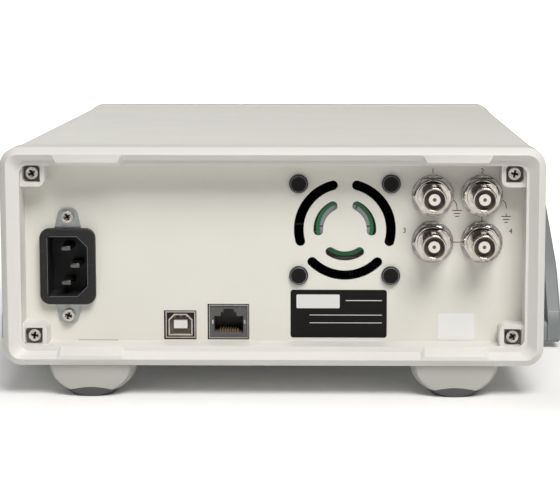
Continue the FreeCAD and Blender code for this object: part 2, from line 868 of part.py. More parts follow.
rear_sheet = body("rear_sheet")
sheet_x = spigot_inner - s.part_gap
sheet_z = (spigot_bottom + s.spigot_wall + s.part_gap, spigot_top - s.spigot_wall - s.part_gap)
pad(rear_sheet, "xz", panel_back, panel_face, rectangle((-sheet_x, sheet_x), sheet_z, s.frame_corner))
through = (panel_back - 1, panel_face + 1)
waist_x = s.inlet_width / 2 - s.inlet_waist
waist_z = s.inlet_height / 2 - s.inlet_waist
usb_b_z = board_floor + s.usb_b_height / 2
lan_z = board_floor + s.lan_height / 2
windows = [
    rectangle(around(inlet_x, waist_x * 2 + s.part_gap * 2), around(inlet_z, waist_z * 2 + s.part_gap * 2),
              s.inlet_corner - s.inlet_waist),
    rectangle(around(s.usb_b_x, s.usb_b_width + s.port_gap * 2),
              around(usb_b_z, s.usb_b_height + s.port_gap * 2)),
    rectangle(around(s.lan_x, s.lan_width + s.port_gap * 2),
              around(lan_z, s.lan_height + s.port_gap * 2)),
]
for outline in windows:
    pocket(rear_sheet, "xz", *through, outline)
holes = [(x, z, s.screw_radius + s.screw_gap) for x, z in corner_screws_at + inlet_screws_at]
holes += [(x, z, s.rivet_shank_radius + s.screw_gap) for x, z in rivets_at]
for x, z, radius in holes:
    pocket(rear_sheet, "xz", *through, (x, z, radius))


def arc_slot(radius, width, middle_angle, half_angle, ends):
    """A slot along an arc about the fan's axis, with round ends. Angles run from +X towards +Z."""
    sector = []
    for reach in (radius + width / 2, radius - width / 2):
        disc = rod("y", reach, ends, -s.fan_x, fan_z)
        disc.Angle = 2 * half_angle
        disc.Placement.Rotation = Y_AXIS_TURN * Rotation(Vector(0, 0, 1), -(middle_angle + half_angle))
        place(disc, -s.fan_x, ends[0], fan_z)
        sector.append(disc)
    ring = cut("slot_ring", *sector)
    tips = []
    for angle in (middle_angle - half_angle, middle_angle + half_angle):
        x = -s.fan_x + radius * math.cos(math.radians(angle))
        z = fan_z + radius * math.sin(math.radians(angle))
        tips.append(rod("y", width / 2, ends, x, z))
    return fuse("slot", ring, *tips)


def d_hole(x, z, ends):
    """A round hole with a flat at its top, for a signal connector."""
    radius = s.bnc_bush_radius + s.screw_gap
    blank = rod("y", radius, ends, x, z)
    flat = box((x - radius - 1, x + radius + 1), (ends[0] - 1, ends[1] + 1),
               (z + s.bnc_flat + s.screw_gap, z + radius + 1))
    return cut("d_hole", blank, flat)


slots = [arc_slot(s.slot_outer_radius, s.slot_outer_width, angle, 45, through) for angle in (30, 150, 270)]
slots += [arc_slot(s.slot_inner_radius, s.slot_inner_width, angle, 33, through) for angle in (30, 150, 270)]
rear_panel = cut("rear_panel", rear_sheet, *slots, *[d_hole(x, z, through) for x, z in inputs_at])


# Mains inlet

ear_face = panel_face + s.ear_wall
inlet_face = ear_face + s.inlet_flange
inlet = body("inlet_shell")
pad(inlet, "xz", ear_face, inlet_face,
    rectangle(around(inlet_x, s.inlet_width), around(inlet_z, s.inlet_height), s.inlet_corner))
pad(inlet, "xz", panel_face - s.inlet_body_depth, ear_face,
    rectangle(around(inlet_x, waist_x * 2), around(inlet_z, waist_z * 2),
              s.inlet_corner - s.inlet_waist))
cavity = around(inlet_x, s.cavity_width)
cavity_z = around(inlet_z, s.cavity_height)
cavity_floor = inlet_face - s.cavity_depth
pocket(inlet, "xz", cavity_floor, inlet_face + 1,
       [(cavity[0] + s.cavity_chamfer, cavity_z[0], None), (cavity[1], cavity_z[0], s.cavity_corner),
        (cavity[1], cavity_z[1], s.cavity_corner), (cavity[0] + s.cavity_chamfer, cavity_z[1], None),
        (cavity[0], cavity_z[1] - s.cavity_chamfer, None),
        (cavity[0], cavity_z[0] + s.cavity_chamfer, None)])
inlet_right = inlet_x + s.inlet_width / 2
inlet_left = inlet_x - s.inlet_width / 2
inlet_top = inlet_z + s.inlet_height / 2
inlet_bottom = inlet_z - s.inlet_height / 2
round_edges(inlet, s.inlet_round, lambda b: near(b.YMin, inlet_face) and near(b.YMax, inlet_face)
            and (near(b.XMax, inlet_right) or near(b.XMin, inlet_left)
                 or near(b.ZMax, inlet_top) or near(b.ZMin, inlet_bottom)))
blade_x = inlet_x + s.blade_side
blades_at = [(blade_x, inlet_z - s.blade_pitch / 2), (blade_x, inlet_z + s.blade_pitch / 2),
             (blade_x - s.blade_offset, inlet_z)]


def blades(label, gap):
    """The three blades, or the slots that they sit in."""
    ends = (panel_face - s.inlet_body_depth - s.blade_tail, cavity_floor + s.blade_length)
    return [box(around(x, s.blade_height + gap * 2), ends, around(z, s.blade_width + gap * 2), label)
            for x, z in blades_at]


inlet_body = cut("inlet_body", inlet, *blades("blade_slot", s.bnc_slip))
group("inlet_blades", *blades("blade", 0.0))
bracket = body("bracket_plate")
ear_top = inlet_z + s.ear_pitch / 2
ear_low = inlet_z - s.ear_pitch / 2
ear_root = s.ear_width / 2 + s.ear_flare
pad(bracket, "xz", panel_face, ear_face,
    [(inlet_x - ear_root, inlet_bottom + s.ear_tuck, None),
     (inlet_x - s.ear_radius, ear_low - s.ear_radius, s.ear_corner),
     (inlet_x + s.ear_radius, ear_low - s.ear_radius, s.ear_corner),
     (inlet_x + ear_root, inlet_bottom + s.ear_tuck, None),
     (inlet_x + ear_root, inlet_top - s.ear_tuck, None),
     (inlet_x + s.ear_radius, ear_top + s.ear_radius, s.ear_corner),
     (inlet_x - s.ear_radius, ear_top + s.ear_radius, s.ear_corner),
     (inlet_x - ear_root, inlet_top - s.ear_tuck, None)])
wide = body("bracket_middle")
pad(wide, "xz", panel_face, ear_face,
    rectangle(around(inlet_x, s.inlet_width - s.bracket_inset * 2),
              around(inlet_z, s.inlet_height - s.bracket_inset * 2),
              s.inlet_corner))
bracket_blank = fuse("bracket_blank", bracket, wide)
bracket_hole = body("bracket_hole")
pad(bracket_hole, "xz", panel_face - 1, ear_face + 1,
    rectangle(around(inlet_x, waist_x * 2 + s.screw_gap), around(inlet_z, waist_z * 2 + s.screw_gap),
              s.inlet_corner - s.inlet_waist))
bracket_screws = [rod("y", s.screw_radius + s.screw_gap, (panel_face - 1, ear_face + 1), x, z)
                  for x, z in inlet_screws_at]
cut("inlet_bracket", bracket_blank, bracket_hole, *bracket_screws)


# Data ports

usb_face = panel_face - s.usb_b_sunk
usb_shell = box(around(s.usb_b_x, s.usb_b_width), (usb_face - s.usb_b_depth, usb_face),
                around(usb_b_z, s.usb_b_height))
usb_hole = body("usb_b_hole")
hole_x = around(s.usb_b_x, s.usb_b_hole_width)
hole_z = around(usb_b_z, s.usb_b_hole_height)
pad(usb_hole, "xz", usb_face - s.usb_b_hole_depth, usb_face + 1,
    [(hole_x[0], hole_z[0], None), (hole_x[1], hole_z[0], None),
     (hole_x[1], hole_z[1] - s.usb_b_chamfer, None), (hole_x[1] - s.usb_b_chamfer, hole_z[1], None),
     (hole_x[0] + s.usb_b_chamfer, hole_z[1], None), (hole_x[0], hole_z[1] - s.usb_b_chamfer, None)])
usb_b_shell = cut("usb_b_shell", usb_shell, usb_hole)
usb_b_tongue = box(around(s.usb_b_x, s.usb_tongue_width),
                   (usb_face - s.usb_b_hole_depth, usb_face - s.tongue_sunk), around(usb_b_z, s.usb_tongue_height))

usb_a_face = fascia_face - s.usb_a_proud
usb_a_ends = (usb_a_face, usb_a_face + s.usb_a_depth)
usb_a_case = box(around(s.usb_a_x, s.usb_a_width), usb_a_ends, around(usb_a_z, s.usb_a_height))
usb_a_hole = box(around(s.usb_a_x, s.usb_a_width - s.usb_a_wall * 2),
                 (usb_a_ends[0] - 1, usb_a_ends[1] - s.usb_a_wall),
                 around(usb_a_z, s.usb_a_height - s.usb_a_wall * 2))
group("usb_shells", usb_b_shell, cut("usb_a_shell", usb_a_case, usb_a_hole))
usb_a_roof = usb_a_z + s.usb_a_height / 2 - s.usb_a_wall
usb_a_tongue = box(around(s.usb_a_x, s.usb_a_tongue_width),
                   (usb_a_ends[0] + s.tongue_sunk, usb_a_ends[1] - s.usb_a_wall),
                   (usb_a_roof - s.usb_a_tongue_gap - s.usb_a_tongue_wall, usb_a_roof - s.usb_a_tongue_gap))
group("usb_tongues", usb_b_tongue, usb_a_tongue)

lan_face = panel_face + s.lan_proud
lan_ends = (lan_face - s.lan_depth, lan_face)
lan_outer = box(around(s.lan_x, s.lan_width), lan_ends, (board_floor, board_floor + s.lan_height))
lan_inside_x = around(s.lan_x, s.lan_width - s.shield_wall * 2)
lan_inside_z = (board_floor + s.shield_wall, board_floor + s.lan_height - s.shield_wall)
cut("lan_shield", lan_outer,
    box(lan_inside_x, (lan_ends[0] + s.shield_wall, lan_face + 1), lan_inside_z))
insert = box(lan_inside_x, (lan_ends[0] + s.shield_wall, lan_face - s.lan_insert_sunk), lan_inside_z)
plug_floor = lan_inside_z[0] + s.lan_plug_floor
plug_steps = ((s.lan_plug_width, s.lan_plug_height), (s.lan_step_width, s.lan_step_height),
              (s.lan_latch_width, s.lan_latch_height))
plug_cuts = []
level = plug_floor
for width, height in plug_steps:
    plug_cuts.append(box(around(s.lan_x, width), (lan_face - s.lan_plug_depth, lan_face + 1),
                         (plug_floor, level + height)))
    level = level + height
contact_depth = (lan_face - s.lan_plug_depth, lan_face - s.lan_contact_sunk)
contact_places = [s.lan_x + (i - (SIZES["lan_contacts"] - 1) / 2) * s.lan_contact_pitch
                  for i in range(SIZES["lan_contacts"])]
cut("lan_insert", insert, fuse("plug_space", *plug_cuts))
group("lan_contacts", *[box(around(x, s.lan_contact_width), contact_depth,
                            (plug_floor, plug_floor + s.lan_contact_height), "contact") for x in contact_places])


# Signal connectors: four inputs on the rear, two outputs on the front

def connector(wall, name):
    """The five pieces of one connector along +Y, with the panel's outer face at zero."""
    bush = body(f"{name}_bush")
    turn(bush, "xy", [
        (s.bnc_insulator_radius + s.bnc_slip, -wall - s.bnc_flange - s.bnc_tail, None),
        (s.bnc_tail_radius, -wall - s.bnc_flange - s.bnc_tail, None),
        (s.bnc_tail_radius, -wall - s.bnc_flange, None),
        (s.bnc_flange_radius, -wall - s.bnc_flange, None),
        (s.bnc_flange_radius, -wall, None),
        (s.bnc_bush_radius, -wall, None),
        (s.bnc_bush_radius, s.bnc_bush_length, None),
        (s.bnc_barrel_radius, s.bnc_bush_length, None),
        (s.bnc_barrel_radius, s.bnc_length, s.bnc_round),
        (s.bnc_bore_radius, s.bnc_length, s.bnc_round),
        (s.bnc_bore_radius, s.bnc_bore_floor, None),
        (s.bnc_insulator_radius + s.bnc_slip, s.bnc_bore_floor, None)])
    reach = s.bnc_bush_radius + 1
    flat = box((-reach, reach), (-wall, s.bnc_bush_length), (s.bnc_flat, reach))
    lug_reach = s.bnc_barrel_radius + s.bnc_lug_proud
    lug_y = s.bnc_length - s.bnc_lug_back
    lugs = [rod("z", s.bnc_lug_radius, ends, 0, lug_y)
            for ends in ((s.bnc_bore_radius + s.bnc_round, lug_reach), (-lug_reach, -s.bnc_bore_radius - s.bnc_round))]
    shell = fuse(f"{name}_shell", cut(f"{name}_flatted", bush, flat), *lugs)
    insulator = body(f"{name}_insulator")
    start = -wall - s.bnc_flange - s.bnc_tail
    turn(insulator, "xy", [
        (s.bnc_contact_radius + s.bnc_slip, start, None), (s.bnc_insulator_radius, start, None),
        (s.bnc_insulator_radius, s.bnc_length - s.bnc_insulator_back, s.bnc_round),
        (s.bnc_contact_radius + s.bnc_slip, s.bnc_length - s.bnc_insulator_back, None)])
    pin = rod("y", s.bnc_contact_radius, (start - s.bnc_pin_tail, s.bnc_length - s.bnc_insulator_back - s.bnc_round), 0, 0)
    pin_hole = rod("y", s.bnc_contact_hole, (s.bnc_bore_floor, s.bnc_length), 0, 0)
    washer = body(f"{name}_washer")
    turn(washer, "xy", [
        (s.bnc_bush_radius + s.bnc_slip, 0, None), (s.bnc_washer_radius, 0, None),
        (s.bnc_washer_radius, s.bnc_washer, s.bnc_round), (s.bnc_bush_radius + s.bnc_slip, s.bnc_washer, None)])
    notches = []
    notch_reach = s.bnc_washer_radius - s.bnc_notch_inset
    for i in range(SIZES["bnc_notches"]):
        angle = math.radians((i + 0.5) * 360 / SIZES["bnc_notches"])
        notches.append(rod("y", s.bnc_notch_radius, (s.bnc_washer / 2, s.bnc_washer + 1),
                           notch_reach * math.cos(angle), notch_reach * math.sin(angle)))
    nut = doc.addObject("Part::Prism", f"{name}_hexagon")
    nut.Polygon = 6
    bind(nut, "Circumradius", s.bnc_nut_across / 2 / math.cos(math.radians(30)))
    bind(nut, "Height", s.bnc_nut)
    nut.Placement.Rotation = Y_AXIS_TURN
    place(nut, 0, s.bnc_washer, 0)
    nut_bore = rod("y", s.bnc_bush_radius + s.bnc_slip, (s.bnc_washer - 1, s.bnc_washer + s.bnc_nut + 1), 0, 0)
    cone = doc.addObject("Part::Cone", f"{name}_nut_cone")
    bind(cone, "Radius1", s.bnc_nut_across / 2 + s.bnc_nut_crown + s.bnc_nut)
    bind(cone, "Radius2", s.bnc_nut_across / 2)
    bind(cone, "Height", s.bnc_nut)
    cone.Placement.Rotation = Y_AXIS_TURN
    place(cone, 0, s.bnc_washer, 0)
    crowned = doc.addObject("Part::Common", f"{name}_crowned")
    crowned.Base = nut
    crowned.Tool = cone
    return {"bnc_bodies": shell, "bnc_insulators": insulator,
            "bnc_contacts": cut(f"{name}_contact", pin, pin_hole),
            "bnc_lock_washers": cut(f"{name}_lock_washer", washer, *notches),
            "bnc_nuts": cut(f"{name}_nut", crowned, nut_bore)}


input_pieces = connector(s.panel_wall, "input")
output_pieces = connector(s.fascia_wall, "output")
for label in input_pieces:
    rear_ones = copies(f"{label}_rear", input_pieces[label], [(x, panel_face, z, 0) for x, z in inputs_at])
    front_ones = copies(f"{label}_front", output_pieces[label],
                        [(x, fascia_face, z, 180) for x, z in outputs_at])
    group(label, rear_ones, front_ones)


# Fan

fan_at = (-s.fan_x, fan_z)
fan_back = panel_back - s.fan_depth
fan_frame = body("fan_frame")
pad(fan_frame, "xz", fan_back, panel_back,
    rectangle(around(-s.fan_x, s.fan_size), around(fan_z, s.fan_size), s.fan_corner),
    (*fan_at, s.fan_bore), *[(x, z, s.rivet_shank_radius + s.screw_gap) for x, z in rivets_at])
disc_face = panel_back - s.fan_disc_back
disc_back = disc_face - s.fan_disc
disc = rod("y", s.fan_hub_radius, (disc_back, disc_face), *fan_at)
fan_end = fan_back + s.fan_end_gap
bearing_end = fan_end + s.fan_cup_wall + s.fan_end_gap
bearing = rod("y", s.fan_bearing_radius, (bearing_end, disc_back), *fan_at)
spokes = []
for angle in (90, 210, 330):
    spoke = box((0, s.fan_bore + s.weld), (disc_back, disc_face), around(0, s.fan_spoke))
    spoke.Placement.Rotation = Rotation(Vector(0, 1, 0), -angle)
    sine = math.sin(math.radians(angle))
    cosine = math.cos(math.radians(angle))
    place(spoke, -s.fan_x + s.fan_spoke / 2 * sine, disc_back, fan_z - s.fan_spoke / 2 * cosine)
    spokes.append(spoke)
fan_bore_tool = rod("y", s.fan_shaft_radius + s.fan_running_gap, (fan_back, disc_face - s.fan_end_gap), *fan_at)
cut("fan_housing", fuse("fan_fixed", fan_frame, disc, bearing, *spokes), fan_bore_tool)

cup_front = disc_back - s.part_gap * 2
cup = rod("y", s.fan_hub_radius, (fan_end, cup_front), *fan_at)
cup_space = rod("y", s.fan_hub_radius - s.fan_cup_wall, (fan_end + s.fan_cup_wall, cup_front + 1), *fan_at)
shaft = rod("y", s.fan_shaft_radius, (fan_end, disc_face - s.fan_end_gap * 2), *fan_at)
fan_blades = []
blade_depth = (cup_front + fan_end) / 2
for i in range(SIZES["fan_blades"]):
    turned = Rotation(Vector(0, 1, 0), i * 360 / SIZES["fan_blades"])
    blade = doc.addObject("Part::Box", "fan_blade")
    bind(blade, "Length", s.fan_blade_tip - s.fan_hub_radius + s.fan_blade_root)
    bind(blade, "Width", s.fan_blade_wall)
    bind(blade, "Height", s.fan_blade_chord)
    lean = Rotation(Vector(1, 0, 0), -FAN_BLADE_LEAN)
    blade.Placement.Rotation = turned * lean
    corner = turned.multVec(Vector(1, 0, 0))
    back_off = (turned * lean).multVec(Vector(0, 0, 1))
    start = s.fan_hub_radius - s.fan_blade_root
    lift = s.fan_blade_chord / 2
    place(blade, -s.fan_x + start * corner.x - lift * back_off.x,
          blade_depth - lift * back_off.y,
          fan_z + start * corner.z - lift * back_off.z)
    fan_blades.append(blade)
fuse("fan_impeller", cut("impeller_cup", cup, cup_space), shaft, *fan_blades)


def rivet():
    """A push rivet along +Y with its head on the plane at zero."""
    made = body("rivet_turned")
    depth = s.panel_wall + s.fan_depth + s.rivet_tip
    dimple_floor = s.rivet_head - s.rivet_round
    turn(made, "xy", [
        (0, -depth, None), (s.rivet_shank_radius / 2, -depth, None),
        (s.rivet_shank_radius, s.rivet_tip - depth, None),
        (s.rivet_shank_radius, 0, None), (s.rivet_head_radius, 0, None),
        (s.rivet_head_radius, s.rivet_head, s.rivet_round), (s.rivet_dimple, s.rivet_head, None),
        (s.rivet_dimple - s.rivet_round / 3, dimple_floor, None), (0, dimple_floor, None)])
    return made


copies("fan_rivets", rivet(), [(x, panel_face, z, 0) for x, z in rivets_at])


# Feet

foot_blank = body("foot_blank")
foot_bore = s.screw_radius + s.screw_gap
head_bore = s.screw_head_radius + s.part_gap
head_top = s.foot_pad_crown + s.foot_screw_head
turn(foot_blank, "xz", [
    (foot_bore, head_top, None), (head_bore, head_top, None),
    (head_bore, s.foot_pad_crown, None), (s.foot_pad_crown_radius, s.foot_pad_crown, None),
    (s.foot_rim_radius, s.foot_rim_height, None),
    (s.foot_waist, s.foot_waist_height, s.foot_waist_round),
    (s.foot_radius, s.foot_height, None), (foot_bore, s.foot_height, None)])
pad_blank = body("foot_pad_blank")
turn(pad_blank, "xz", [
    (0, 0, None), (s.foot_pad_radius, 0, None), (s.foot_rim_radius, s.foot_rim_height, None),
    (s.foot_pad_crown_radius, s.foot_pad_crown, None), (0, s.foot_pad_crown, None)])


def foot_tool():
    """What the flat towards the case's end takes off a foot."""
    return box((-s.foot_radius - 1, s.foot_radius + 1), (s.foot_flat, s.foot_radius + 2),
               (-1, s.foot_height + 1))


foot = cut("foot_pattern", foot_blank, foot_tool())
foot_pad = cut("foot_pad_pattern", pad_blank, foot_tool())
copies("feet", foot, [(x, y, 0, turned) for x, y, turned in feet_at])
copies("foot_pads", foot_pad, [(x, y, 0, turned) for x, y, turned in feet_at])
foot_head = rod("z", s.screw_head_radius, (s.foot_pad_crown, head_top), 0, 0)
foot_shank = rod("z", s.screw_radius, (head_top, s.foot_height + s.foot_screw_depth), 0, 0)
foot_screw = fuse("foot_screw_pattern", foot_head, foot_shank)
copies("foot_screws", foot_screw, [(x, y, 0, turned) for x, y, turned in feet_at])


# Front panel, display and keys

window_x = (-window_left, -window_left + s.window_width)
window_z = (sill + s.window_sill, head - s.window_below_top)
ledge = s.window_ledge
keys = {}
for i in range(5):
    x = -soft_key_first + i * s.soft_key_pitch
    keys[f"soft_key_{i + 1}"] = (x, sill + s.soft_key_above_sill, s.soft_key_width, s.soft_key_height)
pad_names = ("7", "8", "9", "4", "5", "6", "1", "2", "3", "0", "point", "sign")
for i, name in enumerate(pad_names):
    x = -s.number_key_first + (i % 3) * s.number_key_column
    z = head - s.number_key_below_top - (i // 3) * s.number_key_row
    keys[f"number_key_{name}"] = (x, z, s.number_key_width, s.number_key_height)
for i in range(2):
    x = output_x + i * s.output_pitch
    keys[f"output_key_{i + 1}"] = (x, sill + s.output_key_above_sill, s.output_key_width, s.output_key_height)
power_z = sill + s.soft_key_above_sill

fascia = body("fascia")
pad(fascia, "xz", fascia_face, fascia_inside,
    rectangle((-fascia_x, fascia_x), (fascia_bottom, fascia_top), s.frame_corner))
pocket(fascia, "xz", fascia_face - 1, fascia_face + s.window_wall,
       rectangle((window_x[0] - s.shell_gap, window_x[1] + s.shell_gap),
                 (window_z[0] - s.shell_gap, window_z[1] + s.shell_gap), s.window_corner))
pocket(fascia, "xz", fascia_face - 1, fascia_inside + 1,
       rectangle((window_x[0] + ledge, window_x[1] - ledge), (window_z[0] + ledge, window_z[1] - ledge)))
for x, z, width, height in keys.values():
    pocket(fascia, "xz", fascia_face - 1, fascia_inside + 1,
           rectangle(around(x, width + s.part_gap * 2), around(z, height + s.part_gap * 2),
                     s.key_corner + s.part_gap))
pocket(fascia, "xz", fascia_face - 1, fascia_inside + 1,
       rectangle(around(s.usb_a_x, s.usb_a_width + s.part_gap * 2),
                 around(usb_a_z, s.usb_a_height + s.part_gap * 2)))
for x, z, radius in ((-power_x, power_z, s.power_radius + s.part_gap),
                     (knob_x, knob_z, s.bush_radius + s.screw_gap)):
    pocket(fascia, "xz", fascia_face - 1, fascia_inside + 1, (x, z, radius))
fascia_ends = (fascia_face - 1, fascia_inside + 1)
bosses_at = [(side * (fascia_x - s.board_boss_side), z)
             for side in (-1, 1) for z in (sill + s.board_boss_low, head - s.board_boss_high)]
bosses = [rod("y", s.board_boss_radius, (fascia_inside - s.weld, board_front), x, z) for x, z in bosses_at]
pierced = cut("fascia_pierced", fascia, *[d_hole(x, z, fascia_ends) for x, z in outputs_at])
fuse("front_panel", pierced, *bosses)

lens = body("display_window")
pad(lens, "xz", fascia_face, fascia_face + s.window_wall, rectangle(window_x, window_z, s.window_corner))
border = s.display_border
box((window_x[0] + border, window_x[1] - border), (fascia_inside, board_front - s.part_gap),
    (window_z[0] + border, window_z[1] - border), "display_module")

skirt_face = fascia_inside + s.part_gap
skirt_back = skirt_face + s.key_skirt_wall
stem_end = skirt_back + s.key_stem
switch_face = stem_end + s.key_travel + s.part_gap
key_face = fascia_face - s.key_proud


def key(label, x, z, cap, skirt):
    """A push key along Y: a cap through the panel, a skirt behind it and a stem to its switch."""
    made = body(label)
    pad(made, "xz", key_face, skirt_face, cap)
    pad(made, "xz", skirt_face, skirt_back, skirt)
    pad(made, "xz", skirt_back, stem_end, (x, z, s.key_stem_radius))
    round_edges(made, s.key_round, lambda b: near(b.YMin, key_face) and near(b.YMax, key_face))
    return made


for label, (x, z, width, height) in keys.items():
    skirt = s.key_skirt * 2
    key(label, x, z, rectangle(around(x, width), around(z, height), s.key_corner),
        rectangle(around(x, width + skirt), around(z, height + skirt)))
key("power_button", -power_x, power_z, (-power_x, power_z, s.power_radius),
    (-power_x, power_z, s.power_radius + s.key_skirt))

switches = [box(around(x, s.switch_width), (switch_face, board_front), around(z, s.switch_width))
            for x, z in [(k[0], k[1]) for k in keys.values()] + [(-power_x, power_z)]]
board_x = rim_x - s.board_side
board = box((-board_x, board_x), (board_front, board_back), (sill + s.board_edge, head - s.board_edge))
board_holes = [rod("y", s.bnc_flange_radius + s.board_side, (board_front - 1, board_back + 1), x, z)
               for x, z in outputs_at]
board_holes.append(box(around(s.usb_a_x, s.usb_a_width + s.shell_gap * 2), (board_front - 1, board_back + 1),
                       around(usb_a_z, s.usb_a_height + s.shell_gap * 2)))
cut("key_board", fuse("key_board_blank", board, *switches), *board_holes)

encoder_case = box(around(knob_x, s.encoder_width), (fascia_inside, board_front),
                   around(knob_z, s.encoder_width))
encoder_bush = rod("y", s.bush_radius, (fascia_face - s.bush_proud, fascia_inside + s.weld), knob_x, knob_z)
encoder_bore = rod("y", s.shaft_radius + s.shaft_running_gap,
                   (fascia_face - s.bush_proud - 1, board_front - s.encoder_floor), knob_x, knob_z)
cut("encoder", fuse("encoder_blank", encoder_case, encoder_bush), encoder_bore)

knob_face = front - s.knob_proud
knob_back = fascia_face - s.knob_gap
rod("y", s.shaft_radius,
    (knob_face + s.knob_bore_floor + s.shaft_running_gap, board_front - s.encoder_floor - s.part_gap),
    knob_x, knob_z, "encoder_shaft")
knob_solid = body("knob_turned")
skirt_face_y = knob_back - s.knob_skirt
bush_space = (s.bush_radius + s.knob_bush_gap, fascia_face - s.bush_proud - s.knob_bush_gap)
turn(knob_solid, "xy", [
    (0, knob_face, None), (s.knob_tip_radius, knob_face, s.knob_round),
    (s.knob_tip_radius + s.knob_draft, skirt_face_y - 1, None), (s.knob_radius, skirt_face_y, None),
    (s.knob_radius, knob_back, None), (bush_space[0], knob_back, None), (*bush_space, None),
    (s.shaft_radius + s.bnc_slip, bush_space[1], None),
    (s.shaft_radius + s.bnc_slip, knob_face + s.knob_bore_floor, None),
    (0, knob_face + s.knob_bore_floor, None)])
grooves = []
for i in range(SIZES["knob_grooves"]):
    angle = math.radians(i * 360 / SIZES["knob_grooves"])
    reach = s.knob_tip_radius + s.knob_groove_out
    grooves.append(rod("y", s.knob_groove_radius,
                       (knob_face + s.knob_groove_inset, skirt_face_y - 1 - s.knob_groove_back),
                       reach * math.cos(angle), reach * math.sin(angle)))
dimple = doc.addObject("Part::Sphere", "finger_dimple")
bind(dimple, "Radius", s.dimple_radius)
place(dimple, s.knob_tip_radius / 2, knob_face - s.dimple_radius + s.dimple_depth, 0)
knob = cut("knob", knob_solid, *grooves, dimple)
place(knob, knob_x, 0, knob_z)


# Bail handle

pivot_y = front + s.pivot_setback
pivot_z = middle - s.pivot_below_middle
grip_y = (pivot_y + s.grip_reach, pivot_y + s.grip_reach + s.grip_depth)
grip_z = (bottom - s.stow_gap - s.grip_height, bottom - s.stow_gap)
disc_out = half_width + s.pivot_disc - s.cover_inset
arm_in = half_width + s.arm_out
arm_face = arm_in + s.arm_wall
elbow_y = grip_y[1] - s.elbow_back
elbow_z = grip_z[1] + s.elbow_rise
away_y = elbow_y - pivot_y
away_z = elbow_z - pivot_z
away = away_y * away_y + away_z * away_z
along_hub = s.hub_radius * s.hub_radius / away
beside_hub = s.hub_radius * root(away - s.hub_radius * s.hub_radius) / away
tangent_y = along_hub * away_y - beside_hub * away_z
tangent_z = along_hub * away_z + beside_hub * away_y
cap_floor = arm_face - s.pivot_cap - s.pivot_cap_sunk
arm = body("arm_blank")
pad(arm, "yz", arm_in, arm_face, [
    (pivot_y + tangent_y, pivot_z + tangent_z, None),
    (pivot_y - s.arm_root_back, pivot_z - s.arm_root_drop, None),
    (grip_y[0] - s.arm_belly_back, grip_z[1] + s.heel_rise, s.arm_belly_round),
    (grip_y[0] - s.toe_back, grip_z[0], s.toe_round),
    (grip_y[1], grip_z[0], s.grip_corner),
    (grip_y[1], grip_z[1] + s.heel_rise, s.heel_round),
    (elbow_y, elbow_z, s.elbow_round)])
pad(arm, "yz", arm_in, arm_face, (pivot_y, pivot_z, s.hub_radius))
pad(arm, "yz", disc_out + s.part_gap, arm_in, (pivot_y, pivot_z, s.hub_boss_radius))
round_edges(arm, s.arm_round, lambda b: near(b.XMin, arm_face) and near(b.XMax, arm_face))
bore = rod("x", s.pivot_pin_radius + s.pivot_running_gap, (disc_out, arm_face + 1), pivot_y, pivot_z)
counterbore = rod("x", s.pivot_cap_radius + s.part_gap, (cap_floor, arm_face + 1), pivot_y, pivot_z)
right_arm = cut("handle_arm_right", arm, fuse("pivot_space", bore, counterbore))
pivot_disc = rod("x", s.pivot_disc_radius, (cover_side, disc_out), pivot_y, pivot_z)
pivot_pin = rod("x", s.pivot_pin_radius, (disc_out - s.weld, cap_floor + s.part_gap + s.weld), pivot_y, pivot_z)
pivot_cap = rod("x", s.pivot_cap_radius,
                (cap_floor + s.part_gap, cap_floor + s.part_gap + s.pivot_cap), pivot_y, pivot_z)
right_pivot = fuse("pivot_right", pivot_disc, pivot_pin, pivot_cap)


def mirrored(label, source):
    """The same piece on the other side of the case."""
    made = doc.addObject("Part::Mirroring", label)
    made.Source = source
    made.Normal = Vector(1, 0, 0)
    return made


mirrored("handle_arm_left", right_arm)
group("handle_pivots", right_pivot, mirrored("pivot_left", right_pivot))
bar = body("handle_grip")
pad(bar, "yz", -arm_in, arm_in, rectangle(grip_y, grip_z, s.grip_corner))


# Boards inside

main_board = box((-main_board_left, main_board_right), (main_front, main_back),
                 (board_floor - s.board_wall, board_floor))
chip_x = -main_board_left + s.chip_from_edge
chip_y = main_front + s.chip_from_edge
chip = box((chip_x, chip_x + s.chip_width), (chip_y, chip_y + s.chip_width),
           (board_floor - s.solder, board_floor + s.chip_height))
coil = rod("z", s.coil_radius, (board_floor - s.solder, board_floor + s.coil_height),
           main_board_right - s.coil_from_edge, chip_y + s.chip_width / 2)
fuse("main_board", main_board, chip, coil)
supply_y = (-s.supply_front, s.supply_back)
supply_board = box((supply_left, supply_right), supply_y, (board_floor - s.board_wall, board_floor))
transformer_x = supply_left + s.transformer_from_edge
transformer_y = -s.supply_front + s.transformer_from_front
transformer = box((transformer_x, transformer_x + s.transformer_width),
                  (transformer_y, transformer_y + s.transformer_width),
                  (board_floor, board_floor + s.transformer_height))
capacitors = [rod("z", s.capacitor_radius, (board_floor, board_floor + s.capacitor_height),
                  supply_left + s.capacitor_from_edge, s.supply_back - s.capacitor_from_back - i * s.capacitor_pitch)
              for i in range(2)]
heatsink_x = supply_right - s.heatsink_from_edge
heatsink_y = s.supply_back - s.heatsink_from_back
heatsink = box((heatsink_x, heatsink_x + s.heatsink_wall), (heatsink_y - s.heatsink_length, heatsink_y),
               (board_floor, board_floor + s.heatsink_height))
group("power_supply", supply_board, transformer, *capacitors, heatsink)


# Build, check and write

